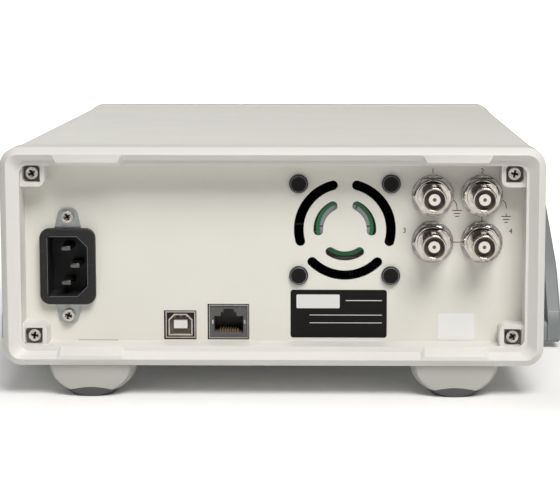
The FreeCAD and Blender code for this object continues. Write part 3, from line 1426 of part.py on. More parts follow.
NODES = ["top_cover", "bottom_cover", "standoffs", "rear_bezel", "rear_panel", "front_bezel", "front_panel",
         "display_window", "display_module", "inlet_body", "inlet_bracket", "inlet_blades",
         "usb_shells", "usb_tongues", "lan_shield", "lan_insert", "lan_contacts",
         "bnc_bodies", "bnc_nuts", "bnc_lock_washers", "bnc_insulators", "bnc_contacts",
         "fan_housing", "fan_impeller", "fan_rivets", "corner_screws", "inlet_screws",
         "feet", "foot_pads", "foot_screws", "main_board", "power_supply", "key_board", "encoder",
         "encoder_shaft", "knob", "power_button", "handle_arm_left", "handle_arm_right",
         "handle_grip", "handle_pivots", *keys]

doc.recompute()
for thing in doc.Objects:
    if "Invalid" in thing.State or "Error" in thing.State:
        raise RuntimeError(f"{thing.Label} is {thing.State}")
    if thing.TypeId in ("PartDesign::Pocket", "PartDesign::SubtractiveLoft"):
        if thing.Shape.Volume >= thing.BaseFeature.Shape.Volume - 1e-6:
            raise RuntimeError(f"{thing.Label} takes nothing away")
shapes = {}
for label in NODES:
    thing = doc.getObjectsByLabel(label)[0]
    shape = thing.Shape
    if shape.isNull() or not shape.isValid() or shape.Volume <= 0:
        raise RuntimeError(f"{label} has no sound shape")
    shapes[label] = shape
os.makedirs("parts", exist_ok=True)
for label, shape in shapes.items():
    shape.exportStep(f"parts/{label}.step")
print(f"{len(shapes)} sub-parts written")
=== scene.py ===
"""Bench function generator, dressed: materials for every solid, and the finer pieces that sit on them."""

import json
import math

import bmesh
import bpy
from mathutils import Matrix, Vector

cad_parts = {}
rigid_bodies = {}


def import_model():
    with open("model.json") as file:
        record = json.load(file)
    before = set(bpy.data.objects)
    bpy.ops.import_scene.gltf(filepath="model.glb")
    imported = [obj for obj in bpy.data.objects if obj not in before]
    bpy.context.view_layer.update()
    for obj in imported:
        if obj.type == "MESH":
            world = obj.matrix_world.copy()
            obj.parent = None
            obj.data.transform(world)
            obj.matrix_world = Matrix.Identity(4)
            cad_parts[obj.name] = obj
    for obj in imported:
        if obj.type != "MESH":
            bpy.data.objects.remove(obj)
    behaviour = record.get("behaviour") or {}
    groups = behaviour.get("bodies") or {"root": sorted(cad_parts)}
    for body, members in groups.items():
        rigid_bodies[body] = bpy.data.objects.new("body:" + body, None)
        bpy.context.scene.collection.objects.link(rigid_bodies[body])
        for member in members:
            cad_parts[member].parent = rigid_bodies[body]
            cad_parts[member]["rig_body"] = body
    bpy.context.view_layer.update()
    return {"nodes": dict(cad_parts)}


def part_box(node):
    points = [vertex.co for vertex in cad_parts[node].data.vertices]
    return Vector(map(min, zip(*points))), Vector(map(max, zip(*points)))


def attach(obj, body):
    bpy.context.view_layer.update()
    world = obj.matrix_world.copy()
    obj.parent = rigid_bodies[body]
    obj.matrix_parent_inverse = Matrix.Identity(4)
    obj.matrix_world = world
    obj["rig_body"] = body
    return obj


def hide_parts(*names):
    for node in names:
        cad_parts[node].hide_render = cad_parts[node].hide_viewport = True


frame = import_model()
nodes = frame["nodes"]
MM = 0.001


# Camera, floor and light

def aim(thing, place, turn_x, turn_z):
    """Put a camera or light in place, turned about X and then about the vertical."""
    thing.location = place
    thing.rotation_euler = (math.radians(turn_x), 0.0, math.radians(turn_z))
    bpy.context.scene.collection.objects.link(thing)
    return thing


def soft_box(name, place, turn_x, turn_z, width, height, power, colour=(1.0, 1.0, 1.0)):
    """A large rectangular studio light."""
    light = bpy.data.lights.new(name, "AREA")
    light.shape = "RECTANGLE"
    light.size = width
    light.size_y = height
    light.energy = power
    light.color = colour
    return aim(bpy.data.objects.new(name, light), place, turn_x, turn_z)


lens = bpy.data.cameras.new("camera")
lens.lens = 119.47
lens.sensor_width = 36.0
lens.shift_x = -0.05
lens.shift_y = -0.06
lens.clip_end = 200.0
CAMERA_PITCH = 7.116
CAMERA_TURN = 180.889
bpy.context.scene.camera = aim(bpy.data.objects.new("camera", lens),
                               (-0.0253, 0.8690, 0.1623), 90.0 - CAMERA_PITCH, CAMERA_TURN)
soft_box("key_light", (-0.45, 1.3, 1.65), -38.6, 21.0, 1.15, 0.9, 39.5, (1.0, 0.988, 0.97))
soft_box("overhead_light", (0.0, -0.3, 1.9), 0.0, 0.0, 2.2, 1.8, 3.0)
soft_box("fill_light", (0.6, -1.6, 0.6), 71.0, 20.0, 1.1, 0.7, 14.0).visible_glossy = False
bpy.context.scene.view_settings.view_transform = "Standard"


# Node helpers

def add(tree, kind, **settings):
    """Add a node and set its properties."""
    node = tree.nodes.new(kind)
    for name, value in settings.items():
        setattr(node, name, value)
    return node


def feed(tree, source, target):
    """Join an output to an input."""
    tree.links.new(source, target)


def new_group(name, inputs, outputs):
    """A shader node group with named sockets, and its two ends."""
    tree = bpy.data.node_groups.new(name, "ShaderNodeTree")
    for title, kind, value in inputs:
        socket = tree.interface.new_socket(title, in_out="INPUT", socket_type=kind)
        socket.default_value = value
    for title, kind in outputs:
        tree.interface.new_socket(title, in_out="OUTPUT", socket_type=kind)
    return tree, add(tree, "NodeGroupInput"), add(tree, "NodeGroupOutput")


def scaled_noise(tree, coordinates, scale, detail=3.0):
    """Noise over the object's own coordinates; scale is a number or a socket."""
    noise = add(tree, "ShaderNodeTexNoise")
    noise.inputs["Detail"].default_value = detail
    feed(tree, coordinates, noise.inputs["Vector"])
    if isinstance(scale, float):
        noise.inputs["Scale"].default_value = scale
    else:
        feed(tree, scale, noise.inputs["Scale"])
    return noise.outputs["Fac"]


def spread(tree, value, low, high, to_low, to_high):
    """Stretch a value's range."""
    node = add(tree, "ShaderNodeMapRange")
    for title, number in (("From Min", low), ("From Max", high)):
        node.inputs[title].default_value = number
    for title, number in (("To Min", to_low), ("To Max", to_high)):
        if isinstance(number, float):
            node.inputs[title].default_value = number
        else:
            feed(tree, number, node.inputs[title])
    feed(tree, value, node.inputs["Value"])
    return node.outputs["Result"]


def arithmetic(tree, operation, first, second):
    """One sum of two sockets or numbers."""
    node = add(tree, "ShaderNodeMath", operation=operation)
    for index, item in enumerate((first, second)):
        if isinstance(item, float):
            node.inputs[index].default_value = item
        else:
            feed(tree, item, node.inputs[index])
    return node.outputs[0]


def blend_colours(tree, factor, first, second, mode="MIX"):
    """Mix two colours given as sockets or values."""
    node = add(tree, "ShaderNodeMix", data_type="RGBA", blend_type=mode)
    for title, item in (("Factor", factor), ("A", first), ("B", second)):
        socket = next(s for s in node.inputs if s.name == title and s.type == ("VALUE" if title == "Factor" else "RGBA"))
        if isinstance(item, bpy.types.NodeSocket):
            feed(tree, item, socket)
        else:
            socket.default_value = item
    return next(s for s in node.outputs if s.type == "RGBA")


def make_moulded_group():
    """Moulded or painted surface: fine grain, slow mottling, faint scuffs and settled dust on what faces up."""
    tree, ends_in, ends_out = new_group(
        "moulded_surface",
        [("Colour", "NodeSocketColor", (0.8, 0.8, 0.8, 1.0)), ("Shade", "NodeSocketColor", (0.6, 0.6, 0.6, 1.0)),
         ("Grain Scale", "NodeSocketFloat", 1800.0), ("Roughness Low", "NodeSocketFloat", 0.4),
         ("Roughness High", "NodeSocketFloat", 0.55), ("Scuffs", "NodeSocketFloat", 0.3),
         ("Dust", "NodeSocketFloat", 0.1)],
        [("Colour", "NodeSocketColor"), ("Roughness", "NodeSocketFloat"), ("Height", "NodeSocketFloat")])
    place = add(tree, "ShaderNodeTexCoord").outputs["Object"]
    grain = scaled_noise(tree, place, ends_in.outputs["Grain Scale"], 2.0)
    mottle = scaled_noise(tree, place, 38.0)
    patches = scaled_noise(tree, place, 9.0, 5.0)
    stretch = add(tree, "ShaderNodeMapping")
    stretch.inputs["Rotation"].default_value = (0.3, 0.4, 0.7)
    stretch.inputs["Scale"].default_value = (35.0, 900.0, 900.0)
    feed(tree, place, stretch.inputs["Vector"])
    scratch = spread(tree, scaled_noise(tree, stretch.outputs["Vector"], 1.0, 1.0), 0.69, 0.74, 0.0, 1.0)
    scratch = arithmetic(tree, "MULTIPLY", scratch, spread(tree, patches, 0.5, 0.62, 0.0, 1.0))
    scratch = arithmetic(tree, "MULTIPLY", scratch, ends_in.outputs["Scuffs"])
    upward = add(tree, "ShaderNodeSeparateXYZ")
    feed(tree, add(tree, "ShaderNodeNewGeometry").outputs["Normal"], upward.inputs[0])
    settled = spread(tree, upward.outputs["Z"], 0.5, 1.0, 0.0, 1.0)
    settled = arithmetic(tree, "MULTIPLY", settled, spread(tree, patches, 0.35, 0.7, 0.2, 1.0))
    settled = arithmetic(tree, "MULTIPLY", settled, ends_in.outputs["Dust"])
    toned = blend_colours(tree, spread(tree, mottle, 0.3, 0.75, 0.0, 0.35), ends_in.outputs["Colour"],
                          ends_in.outputs["Shade"])
    toned = blend_colours(tree, spread(tree, grain, 0.35, 0.7, 0.0, 0.16), toned, ends_in.outputs["Shade"])
    toned = blend_colours(tree, settled, toned, (0.62, 0.6, 0.56, 1.0))
    feed(tree, blend_colours(tree, arithmetic(tree, "MULTIPLY", scratch, 0.35), toned, (0.9, 0.9, 0.9, 1.0)),
         ends_out.inputs["Colour"])
    rough = spread(tree, mottle, 0.3, 0.7, ends_in.outputs["Roughness Low"], ends_in.outputs["Roughness High"])
    rough = arithmetic(tree, "ADD", rough, arithmetic(tree, "MULTIPLY", settled, 0.6))
    feed(tree, arithmetic(tree, "SUBTRACT", rough, arithmetic(tree, "MULTIPLY", scratch, 0.1)),
         ends_out.inputs["Roughness"])
    feed(tree, arithmetic(tree, "SUBTRACT", grain, arithmetic(tree, "MULTIPLY", scratch, 0.5)),
         ends_out.inputs["Height"])
    return tree


def make_metal_group():
    """Plated or turned metal: fine machining lines, slow tarnish and fingerprints."""
    tree, ends_in, ends_out = new_group(
        "plated_surface",
        [("Colour", "NodeSocketColor", (0.8, 0.8, 0.8, 1.0)), ("Tarnish", "NodeSocketColor", (0.5, 0.45, 0.4, 1.0)),
         ("Roughness Low", "NodeSocketFloat", 0.15), ("Roughness High", "NodeSocketFloat", 0.35)],
        [("Colour", "NodeSocketColor"), ("Roughness", "NodeSocketFloat"), ("Height", "NodeSocketFloat")])
    place = add(tree, "ShaderNodeTexCoord").outputs["Object"]
    stretch = add(tree, "ShaderNodeMapping")
    stretch.inputs["Scale"].default_value = (260.0, 6000.0, 260.0)
    feed(tree, place, stretch.inputs["Vector"])
    lines = scaled_noise(tree, stretch.outputs["Vector"], 1.0, 2.0)
    cloud = scaled_noise(tree, place, 420.0)
    feed(tree, blend_colours(tree, spread(tree, cloud, 0.42, 0.75, 0.0, 0.8), ends_in.outputs["Colour"],
                             ends_in.outputs["Tarnish"]), ends_out.inputs["Colour"])
    feed(tree, spread(tree, cloud, 0.3, 0.7, ends_in.outputs["Roughness Low"], ends_in.outputs["Roughness High"]),
         ends_out.inputs["Roughness"])
    feed(tree, lines, ends_out.inputs["Height"])
    return tree


MOULDED = make_moulded_group()
METAL = make_metal_group()


def start_material(name, group):
    """A material whose shader takes its colour, roughness and bump from a shared group."""
    made = bpy.data.materials.new(name)
    made.use_nodes = True
    tree = made.node_tree
    shader = tree.nodes["Principled BSDF"]
    source = add(tree, "ShaderNodeGroup", node_tree=group)
    bump = add(tree, "ShaderNodeBump")
    feed(tree, source.outputs["Colour"], shader.inputs["Base Color"])
    feed(tree, source.outputs["Roughness"], shader.inputs["Roughness"])
    feed(tree, source.outputs["Height"], bump.inputs["Height"])
    feed(tree, bump.outputs["Normal"], shader.inputs["Normal"])
    return made, shader, source, bump


def moulded(name, colour, shade, grain=1800.0, rough=(0.42, 0.56), depth=0.00004, scuffs=0.3, dust=0.1,
            strength=0.25, specular=0.5):
    """A moulded plastic, rubber or paint."""
    made, shader, source, bump = start_material(name, MOULDED)
    source.inputs["Colour"].default_value = (*colour, 1.0)
    source.inputs["Shade"].default_value = (*shade, 1.0)
    source.inputs["Grain Scale"].default_value = grain
    source.inputs["Roughness Low"].default_value = rough[0]
    source.inputs["Roughness High"].default_value = rough[1]
    source.inputs["Scuffs"].default_value = scuffs
    source.inputs["Dust"].default_value = dust
    bump.inputs["Distance"].default_value = depth
    bump.inputs["Strength"].default_value = strength
    shader.inputs["Specular IOR Level"].default_value = specular
    return made


def plated(name, colour, tarnish, rough=(0.12, 0.3), depth=0.00001):
    """A bare or plated metal."""
    made, shader, source, bump = start_material(name, METAL)
    source.inputs["Colour"].default_value = (*colour, 1.0)
    source.inputs["Tarnish"].default_value = (*tarnish, 1.0)
    source.inputs["Roughness Low"].default_value = rough[0]
    source.inputs["Roughness High"].default_value = rough[1]
    bump.inputs["Distance"].default_value = depth
    bump.inputs["Strength"].default_value = 0.3
    shader.inputs["Metallic"].default_value = 1.0
    return made


def glowing(name, colour, power, grain=900.0):
    """A lit part of the display."""
    made = moulded(name, colour, tuple(c * 0.8 for c in colour), grain, (0.3, 0.4), dust=0.0, scuffs=0.0)
    shader = made.node_tree.nodes["Principled BSDF"]
    source = next(n for n in made.node_tree.nodes if n.type == "GROUP")
    feed(made.node_tree, source.outputs["Colour"], shader.inputs["Emission Color"])
    shader.inputs["Emission Strength"].default_value = power
    return made


def window_glass(name):
    """Clear display glass with a faint smear."""
    made, shader, source, bump = start_material(name, MOULDED)
    source.inputs["Colour"].default_value = (0.92, 0.94, 0.95, 1.0)
    source.inputs["Shade"].default_value = (0.9, 0.92, 0.93, 1.0)
    source.inputs["Grain Scale"].default_value = 300.0
    source.inputs["Roughness Low"].default_value = 0.015
    source.inputs["Roughness High"].default_value = 0.05
    source.inputs["Scuffs"].default_value = 0.05
    source.inputs["Dust"].default_value = 0.0
    bump.inputs["Distance"].default_value = 0.000002
    shader.inputs["Transmission Weight"].default_value = 1.0
    shader.inputs["IOR"].default_value = 1.49
    return made


CASE = moulded("case_plastic", (0.78, 0.765, 0.73), (0.7, 0.685, 0.65), 2600.0, (0.4, 0.5), 0.00003, 0.25, 0.1)
# Painted shade: a darker copy of the case plastic for the feet, which stand in the case's shade.
CASE_PAINTED_SHADE = moulded("foot_painted_shade", (0.5, 0.495, 0.46), (0.44, 0.435, 0.4), 2600.0, (0.4, 0.5), 0.00003, 0.25, 0.1)
COVER = moulded("cover_paint", (0.84, 0.835, 0.785), (0.78, 0.775, 0.725), 3400.0, (0.46, 0.6), 0.00006, 0.35, 0.14,
                strength=0.35)
PANEL = moulded("panel_paint", (0.81, 0.795, 0.73), (0.75, 0.735, 0.67), 4200.0, (0.36, 0.46), 0.00002, 0.12, 0.0,
                strength=0.2)
FASCIA = moulded("fascia_plastic", (0.69, 0.67, 0.63), (0.6, 0.585, 0.55), 2600.0, (0.42, 0.52), 0.00003, 0.15, 0.04)
# This black also serves as painted shade in the port gaps and the USB port's holes.
BLACK_AND_SHADE = moulded("black_plastic", (0.009, 0.008, 0.0075), (0.014, 0.013, 0.012), 2200.0, (0.22, 0.34), 0.00002, 0.2, 0.02,
                specular=0.3)
# The plate's black also serves as painted shadow in the screw crosses.
PLATE_AND_SHADOW = moulded("plate_black_and_shadow", (0.006, 0.005, 0.0045), (0.01, 0.009, 0.008), 3000.0, (0.3, 0.4), 0.00001, 0.1, 0.0,
                specular=0.2)
# Painted shade: a dark brown for the floors of the screw pockets and the panel's lower gap.
PAINTED_SHADE = moulded("pocket_shade", (0.2, 0.18, 0.155), (0.16, 0.145, 0.125), 2600.0, (0.6, 0.7), 0.00002, 0.0, 0.0)
INLET = moulded("inlet_black", (0.017, 0.016, 0.016), (0.024, 0.023, 0.023), 1600.0, (0.38, 0.5), 0.00004, 0.08, 0.02,
                specular=0.35)
JACK = moulded("jack_grey", (0.1, 0.098, 0.096), (0.13, 0.128, 0.125), 2000.0, (0.45, 0.55), 0.00003, 0.1, 0.1)
WHITE = moulded("white_insulator", (0.83, 0.81, 0.78), (0.74, 0.71, 0.66), 1500.0, (0.35, 0.5), 0.00002, 0.1, 0.0)
RUBBER = moulded("foot_rubber", (0.08, 0.079, 0.077), (0.115, 0.113, 0.11), 1400.0, (0.7, 0.85), 0.00008, 0.6, 0.3)
HANDLE = moulded("handle_plastic", (0.205, 0.22, 0.225), (0.24, 0.255, 0.26), 2000.0, (0.45, 0.58), 0.00005, 0.6, 0.12)
# This blue-grey also serves as the painted highlight on the inlet's mouth.
KNOB_AND_HIGHLIGHT = moulded("knob_plastic", (0.15, 0.17, 0.2), (0.19, 0.21, 0.24), 2200.0, (0.4, 0.5), 0.00004, 0.4, 0.08)
KEY = moulded("key_rubber", (0.42, 0.44, 0.46), (0.36, 0.38, 0.4), 2600.0, (0.55, 0.68), 0.00003, 0.2, 0.06)
KEY_PALE = moulded("key_pale", (0.6, 0.6, 0.59), (0.52, 0.52, 0.51), 2600.0, (0.52, 0.66), 0.00003, 0.2, 0.06)
KEY_GREEN = moulded("key_green", (0.08, 0.3, 0.16), (0.06, 0.24, 0.13), 2600.0, (0.5, 0.6), 0.00003, 0.2, 0.04)
BOARD = moulded("circuit_board", (0.02, 0.13, 0.06), (0.03, 0.17, 0.09), 1200.0, (0.3, 0.45), 0.00003, 0.1, 0.2)
INK = moulded("printed_ink", (0.02, 0.02, 0.022), (0.04, 0.04, 0.04), 5000.0, (0.4, 0.55), 0.00001, 0.1, 0.0)
WHITE_INK = moulded("white_ink", (0.8, 0.8, 0.78), (0.7, 0.7, 0.68), 5000.0, (0.4, 0.55), 0.00001, 0.1, 0.0)
PAPER = moulded("sticker_white", (0.88, 0.88, 0.87), (0.84, 0.84, 0.83), 1200.0, (0.35, 0.45), 0.00002, 0.2, 0.0)
GREEN = moulded("label_green", (0.015, 0.16, 0.05), (0.012, 0.12, 0.04), 1500.0, (0.35, 0.5), 0.00002, 0.1, 0.0)
# This grey also serves as the painted sheen on the rivet rims.
GREY_AND_SHEEN = moulded("label_grey_and_sheen", (0.3, 0.31, 0.34), (0.25, 0.26, 0.29), 1500.0, (0.35, 0.5), 0.00002, 0.1, 0.0)
RED = moulded("wire_red", (0.4, 0.02, 0.02), (0.3, 0.02, 0.02), 1500.0, (0.35, 0.5), 0.00002, 0.1, 0.0)
NICKEL = plated("nickel_plate", (0.68, 0.64, 0.59), (0.5, 0.455, 0.4), (0.06, 0.15))
NICKEL_DULL = plated("nickel_dull", (0.6, 0.59, 0.57), (0.45, 0.43, 0.4), (0.25, 0.4))
# Painted shade: a dark brown for the walls and floors deep in the bores and in the USB port.
DEEP_SHADE = moulded("deep_painted_shade", (0.17, 0.13, 0.1), (0.14, 0.105, 0.08), 2400.0, (0.35, 0.45), 0.00001, 0.1, 0.0)
# Painted shade: nickel darkened for the blades, which sit deep in the inlet.
BLADE = plated("blade_nickel_painted_shade", (0.2, 0.195, 0.19), (0.14, 0.135, 0.13), (0.3, 0.45))
WASHER = plated("washer_steel", (0.46, 0.45, 0.43), (0.34, 0.32, 0.3), (0.22, 0.36))
CONTACT = moulded("contact_brown", (0.27, 0.175, 0.085), (0.2, 0.125, 0.06), 3000.0, (0.3, 0.4), 0.00001, 0.0, 0.0)
SCREW = plated("screw_nickel", (0.72, 0.68, 0.62), (0.5, 0.45, 0.38), (0.18, 0.36))
ZINC = plated("zinc_steel", (0.48, 0.5, 0.5), (0.38, 0.4, 0.4), (0.32, 0.5), 0.00002)
GOLD = plated("gold_plate", (0.83, 0.5, 0.13), (0.6, 0.32, 0.08), (0.18, 0.3))
GLASS = window_glass("display_glass")
SCREEN = glowing("display_ground", (0.01, 0.022, 0.06), 1.0)
TRACE = glowing("display_trace", (0.95, 0.72, 0.08), 1.4)
SCREEN_LINE = glowing("display_line", (0.12, 0.3, 0.45), 0.7)
SCREEN_TAB = glowing("display_tab", (0.1, 0.42, 0.62), 0.9)
FLOOR = moulded("studio_floor", (0.9, 0.9, 0.9), (0.88, 0.88, 0.88), 60.0, (0.75, 0.85), 0.00002, 0.0, 0.0)


# World and floor

world = bpy.data.worlds.new("studio")
bpy.context.scene.world = world
world.use_nodes = True
sky = world.node_tree.nodes["Background"]
sky.inputs["Color"].default_value = (1.0, 0.97, 0.93, 1.0)
sky.inputs["Strength"].default_value = 0.06


def whiten_floor():
    """Paint a glow on the floor that the camera sees and that lights nothing: least at the object's footprint, a
    painted shadow there, and rising with distance, a painted light, so the floor shows white beyond the object's shadow
    and the light's reach.
    """
    tree = FLOOR.node_tree
    shader = tree.nodes["Principled BSDF"]
    place = add(tree, "ShaderNodeTexCoord").outputs["Object"]
    reach = add(tree, "ShaderNodeVectorMath", operation="ABSOLUTE")
    feed(tree, place, reach.inputs[0])
    outside = add(tree, "ShaderNodeVectorMath", operation="SUBTRACT")
    feed(tree, reach.outputs[0], outside.inputs[0])
    outside.inputs[1].default_value = (0.107, 0.132, 0.0)
    beyond = add(tree, "ShaderNodeVectorMath", operation="MAXIMUM")
    feed(tree, outside.outputs[0], beyond.inputs[0])
    span = add(tree, "ShaderNodeVectorMath", operation="LENGTH")
    feed(tree, beyond.outputs[0], span.inputs[0])
    # Painted shadow near the footprint, painted light further out: the glow rises over 9 cm from the footprint and
    # again far away.
    near = spread(tree, span.outputs["Value"], 0.0, 0.09, 0.055, 0.45)
    far = spread(tree, span.outputs["Value"], 0.15, 1.7, 0.0, 0.8)
    seen = arithmetic(tree, "MULTIPLY", arithmetic(tree, "ADD", near, far),
                      add(tree, "ShaderNodeLightPath").outputs["Is Camera Ray"])
    feed(tree, seen, shader.inputs["Emission Color"])
    shader.inputs["Emission Strength"].default_value = 1.0


whiten_floor()
body_of = {name: node["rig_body"] for name, node in nodes.items()}


# Mesh helpers

def link_piece(name, mesh, materials, body):
    """Put a finished mesh into the scene as a piece that rides on a body."""
    for material in materials:
        mesh.materials.append(material)
    piece = bpy.data.objects.new(name, mesh)
    bpy.context.scene.collection.objects.link(piece)
    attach(piece, body)
    return piece


def finish_piece(name, maker, material, body, smooth_angle=32.0):
    """Turn a bmesh into a piece of the object."""
    mesh = bpy.data.meshes.new(name)
    bmesh.ops.recalc_face_normals(maker, faces=maker.faces)
    mark_smooth(maker, smooth_angle)
    maker.to_mesh(mesh)
    maker.free()
    return link_piece(name, mesh, [material], body)


def mark_smooth(maker, angle):
    """Shade faces smooth, except across edges sharper than an angle."""
    maker.normal_update()
    for face in maker.faces:
        face.smooth = True
    for edge in maker.edges:
        edge.smooth = len(edge.link_faces) == 2 and edge.calc_face_angle(0.0) < math.radians(angle)


def softened(node, material, width, segments=2, angle=30.0):
    """Stand in for a CAD node with the same shape and small rounded edges."""
    source = nodes[node]
    maker = bmesh.new()
    maker.from_mesh(source.data)
    bmesh.ops.remove_doubles(maker, verts=maker.verts, dist=0.000002)
    bmesh.ops.dissolve_limit(maker, angle_limit=math.radians(0.6), verts=maker.verts, edges=maker.edges)
    sharp = [e for e in maker.edges if len(e.link_faces) == 2 and e.calc_face_angle(0.0) > math.radians(angle)]
    bmesh.ops.bevel(maker, geom=sharp, offset=width, affect="EDGES", segments=segments, profile=0.5,
                    material=-1, clamp_overlap=True)
    bmesh.ops.dissolve_limit(maker, angle_limit=math.radians(0.2), verts=maker.verts, edges=maker.edges)
    piece = finish_piece(f"{node}_shell", maker, material, body_of[node], 20.0)
    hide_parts(node)
    return piece


def dress(node, material):
    """Give a CAD node its material."""
    mesh = nodes[node].data
    mesh.materials.clear()
    mesh.materials.append(material)


def slab(maker, x, y, z, bevel=0.0):
    """A box between the low and high ends of x, y and z in millimetres, with rounded edges."""
    low = Vector((x[0], y[0], z[0])) * MM
    high = Vector((x[1], y[1], z[1])) * MM
    verts = bmesh.ops.create_cube(maker, size=1.0)["verts"]
    bmesh.ops.scale(maker, vec=high - low, verts=verts)
    bmesh.ops.translate(maker, vec=(high + low) / 2, verts=verts)
    if bevel:
        edges = list({e for v in verts for e in v.link_edges})
        bmesh.ops.bevel(maker, geom=edges, offset=bevel * MM, affect="EDGES", segments=2, profile=0.5,
                        material=-1)


def about(centre, width):
    """The low and high ends of a width about a centre."""
    return centre - width / 2, centre + width / 2


def prism(maker, outline, y):
    """A flat plate with an outline of (x, z) points, between two levels of y, all in millimetres."""
    rings = [[maker.verts.new(Vector((px, level, pz)) * MM) for px, pz in outline] for level in y]
    maker.faces.new(rings[0])
    maker.faces.new(reversed(rings[1]))
    count = len(outline)
    for i in range(count):
        j = (i + 1) % count
        maker.faces.new((rings[0][i], rings[1][i], rings[1][j], rings[0][j]))


def rounded(x, z, radius, steps=5):
    """A rounded rectangle's outline as (x, z) points."""
    points = []
    corners = ((x[1], z[1], 0), (x[0], z[1], 90), (x[0], z[0], 180), (x[1], z[0], 270))
    for cx, cz, start in corners:
        sx = 1 if cx == x[1] else -1
        sz = 1 if cz == z[1] else -1
        for i in range(steps + 1):
            angle = math.radians(start + 90 * i / steps)
            points.append((cx - sx * radius + radius * math.cos(angle), cz - sz * radius + radius * math.sin(angle)))
    return points


def ribbon(maker, points, width, y):
    """A printed line along (x, z) points in millimetres, between two levels of y."""
    for start, end in zip(points, points[1:]):
        along = Vector((end[0] - start[0], end[1] - start[1])).normalized() * width / 2
        beside = Vector((-along.y, along.x))
        first = Vector(start) - along * 0.5
        last = Vector(end) + along * 0.5
        prism(maker, [tuple(first + beside), tuple(first - beside), tuple(last - beside), tuple(last + beside)], y)


def disc_ring(maker, centre, radii, y, steps=48, span=(0.0, 360.0)):
    """A flat ring, or part of one, about (x, z) in millimetres, between two levels of y."""
    whole = span[1] - span[0] >= 360.0
    loops = []
    for level in y:
        for radius in radii:
            count = steps if whole else steps + 1
            loops.append([maker.verts.new(Vector((centre[0] + radius * math.cos(a), level,
                                                  centre[1] + radius * math.sin(a))) * MM)
                          for a in (math.radians(span[0] + (span[1] - span[0]) * i / steps) for i in range(count))])
    inner_low, outer_low, inner_high, outer_high = loops
    count = len(inner_low)
    for i in range(count if whole else count - 1):
        j = (i + 1) % count
        for a, b in ((inner_low, outer_low), (outer_low, outer_high), (outer_high, inner_high),
                     (inner_high, inner_low)):
            maker.faces.new((a[i], b[i], b[j], a[j]))
    if not whole:
        for i in (0, count - 1):
            maker.faces.new((inner_low[i], outer_low[i], outer_high[i], inner_high[i]))


def legend(name, text, size, centre, facing, material, body, depth=0.06):
    """Plain raised numerals or signs, centred on (x, y, z) in millimetres, facing front (-1) or rear (1)."""
    curve = bpy.data.curves.new(name, "FONT")
    curve.body = text
    curve.size = size * MM
    curve.extrude = depth * MM / 2
    curve.space_character = 1.12
    curve.align_x = "CENTER"
    curve.align_y = "CENTER"
    curve.resolution_u = 4
    holder = bpy.data.objects.new(f"{name}_text", curve)
    bpy.context.scene.collection.objects.link(holder)
    bpy.context.view_layer.update()
    mesh = bpy.data.meshes.new_from_object(holder.evaluated_get(bpy.context.evaluated_depsgraph_get()))
    bpy.data.objects.remove(holder)
    turn = Matrix.Rotation(math.radians(90.0), 4, "X")
    if facing > 0:
        turn = Matrix.Rotation(math.radians(180.0), 4, "Z") @ turn
    mesh.transform(Matrix.Translation(Vector(centre) * MM) @ turn)
    mesh.materials.clear()
    return link_piece(name, mesh, [material], body)


def in_mm(node):
    """A node's low and high corners in millimetres."""
    return tuple(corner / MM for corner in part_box(node))


def middle_of(node):
    """The middle of a node's box in millimetres."""
    low, high = in_mm(node)
    return (low + high) / 2


# The CAD nodes: softened copies for the large and bright ones, materials for the rest

def dress_case():
    """Bezels, panels, cover, feet and handle."""
    softened("rear_bezel", CASE, 0.0006)
    softened("front_bezel", CASE, 0.0004)
    softened("rear_panel", PANEL, 0.0002)
    softened("front_panel", FASCIA, 0.0002)
    softened("top_cover", COVER, 0.00025)
    # The feet take the darker copy of the case plastic as painted shade.
    softened("feet", CASE_PAINTED_SHADE, 0.0004)
    softened("foot_pads", RUBBER, 0.0003)
    softened("handle_grip", HANDLE, 0.0006)
    for name in ("handle_arm_left", "handle_arm_right", "handle_pivots"):
        softened(name, HANDLE, 0.0003)
    dress("bottom_cover", COVER)
    dress("standoffs", ZINC)


def dress_rear():
    """The connectors, fan and fasteners of the rear panel."""
    softened("inlet_body", INLET, 0.00025)
    dress("inlet_bracket", ZINC)
    # The blades take the darkened nickel as painted shade.
    softened("inlet_blades", BLADE, 0.0006)
    softened("usb_shells", NICKEL, 0.0001, 1)
    dress("usb_tongues", WHITE)
    softened("lan_shield", NICKEL_DULL, 0.0001, 1)
    dress("lan_insert", JACK)
    dress("lan_contacts", CONTACT)
    softened("bnc_bodies", NICKEL, 0.00012, 2)
    softened("bnc_nuts", NICKEL, 0.00018, 2)
    dress("bnc_lock_washers", WASHER)
    dress("bnc_insulators", WHITE)
    dress("bnc_contacts", GOLD)
    for name in ("fan_housing", "fan_impeller"):
        dress(name, BLACK_AND_SHADE)
    softened("fan_rivets", BLACK_AND_SHADE, 0.00012, 2)
    for name in ("corner_screws", "inlet_screws", "foot_screws"):
        softened(name, SCREW, 0.00012, 2)


def dress_front():
    """The display, keys, knob and boards."""
    dress("display_window", GLASS)
    dress("display_module", BLACK_AND_SHADE)
    for name in ("main_board", "power_supply", "key_board"):
        dress(name, BOARD)
    dress("encoder", ZINC)
    dress("encoder_shaft", ZINC)
    softened("knob", KNOB_AND_HIGHLIGHT, 0.00015, 2)
    dress("power_button", KEY_GREEN)
    for name in nodes:
        if name.startswith(("soft_key", "output_key")):
            dress(name, KEY)
        elif name.startswith("number_key"):
            dress(name, KEY_PALE)


dress_case()
dress_rear()
dress_front()


# Rear panel: printing, plates and the small parts in its openings

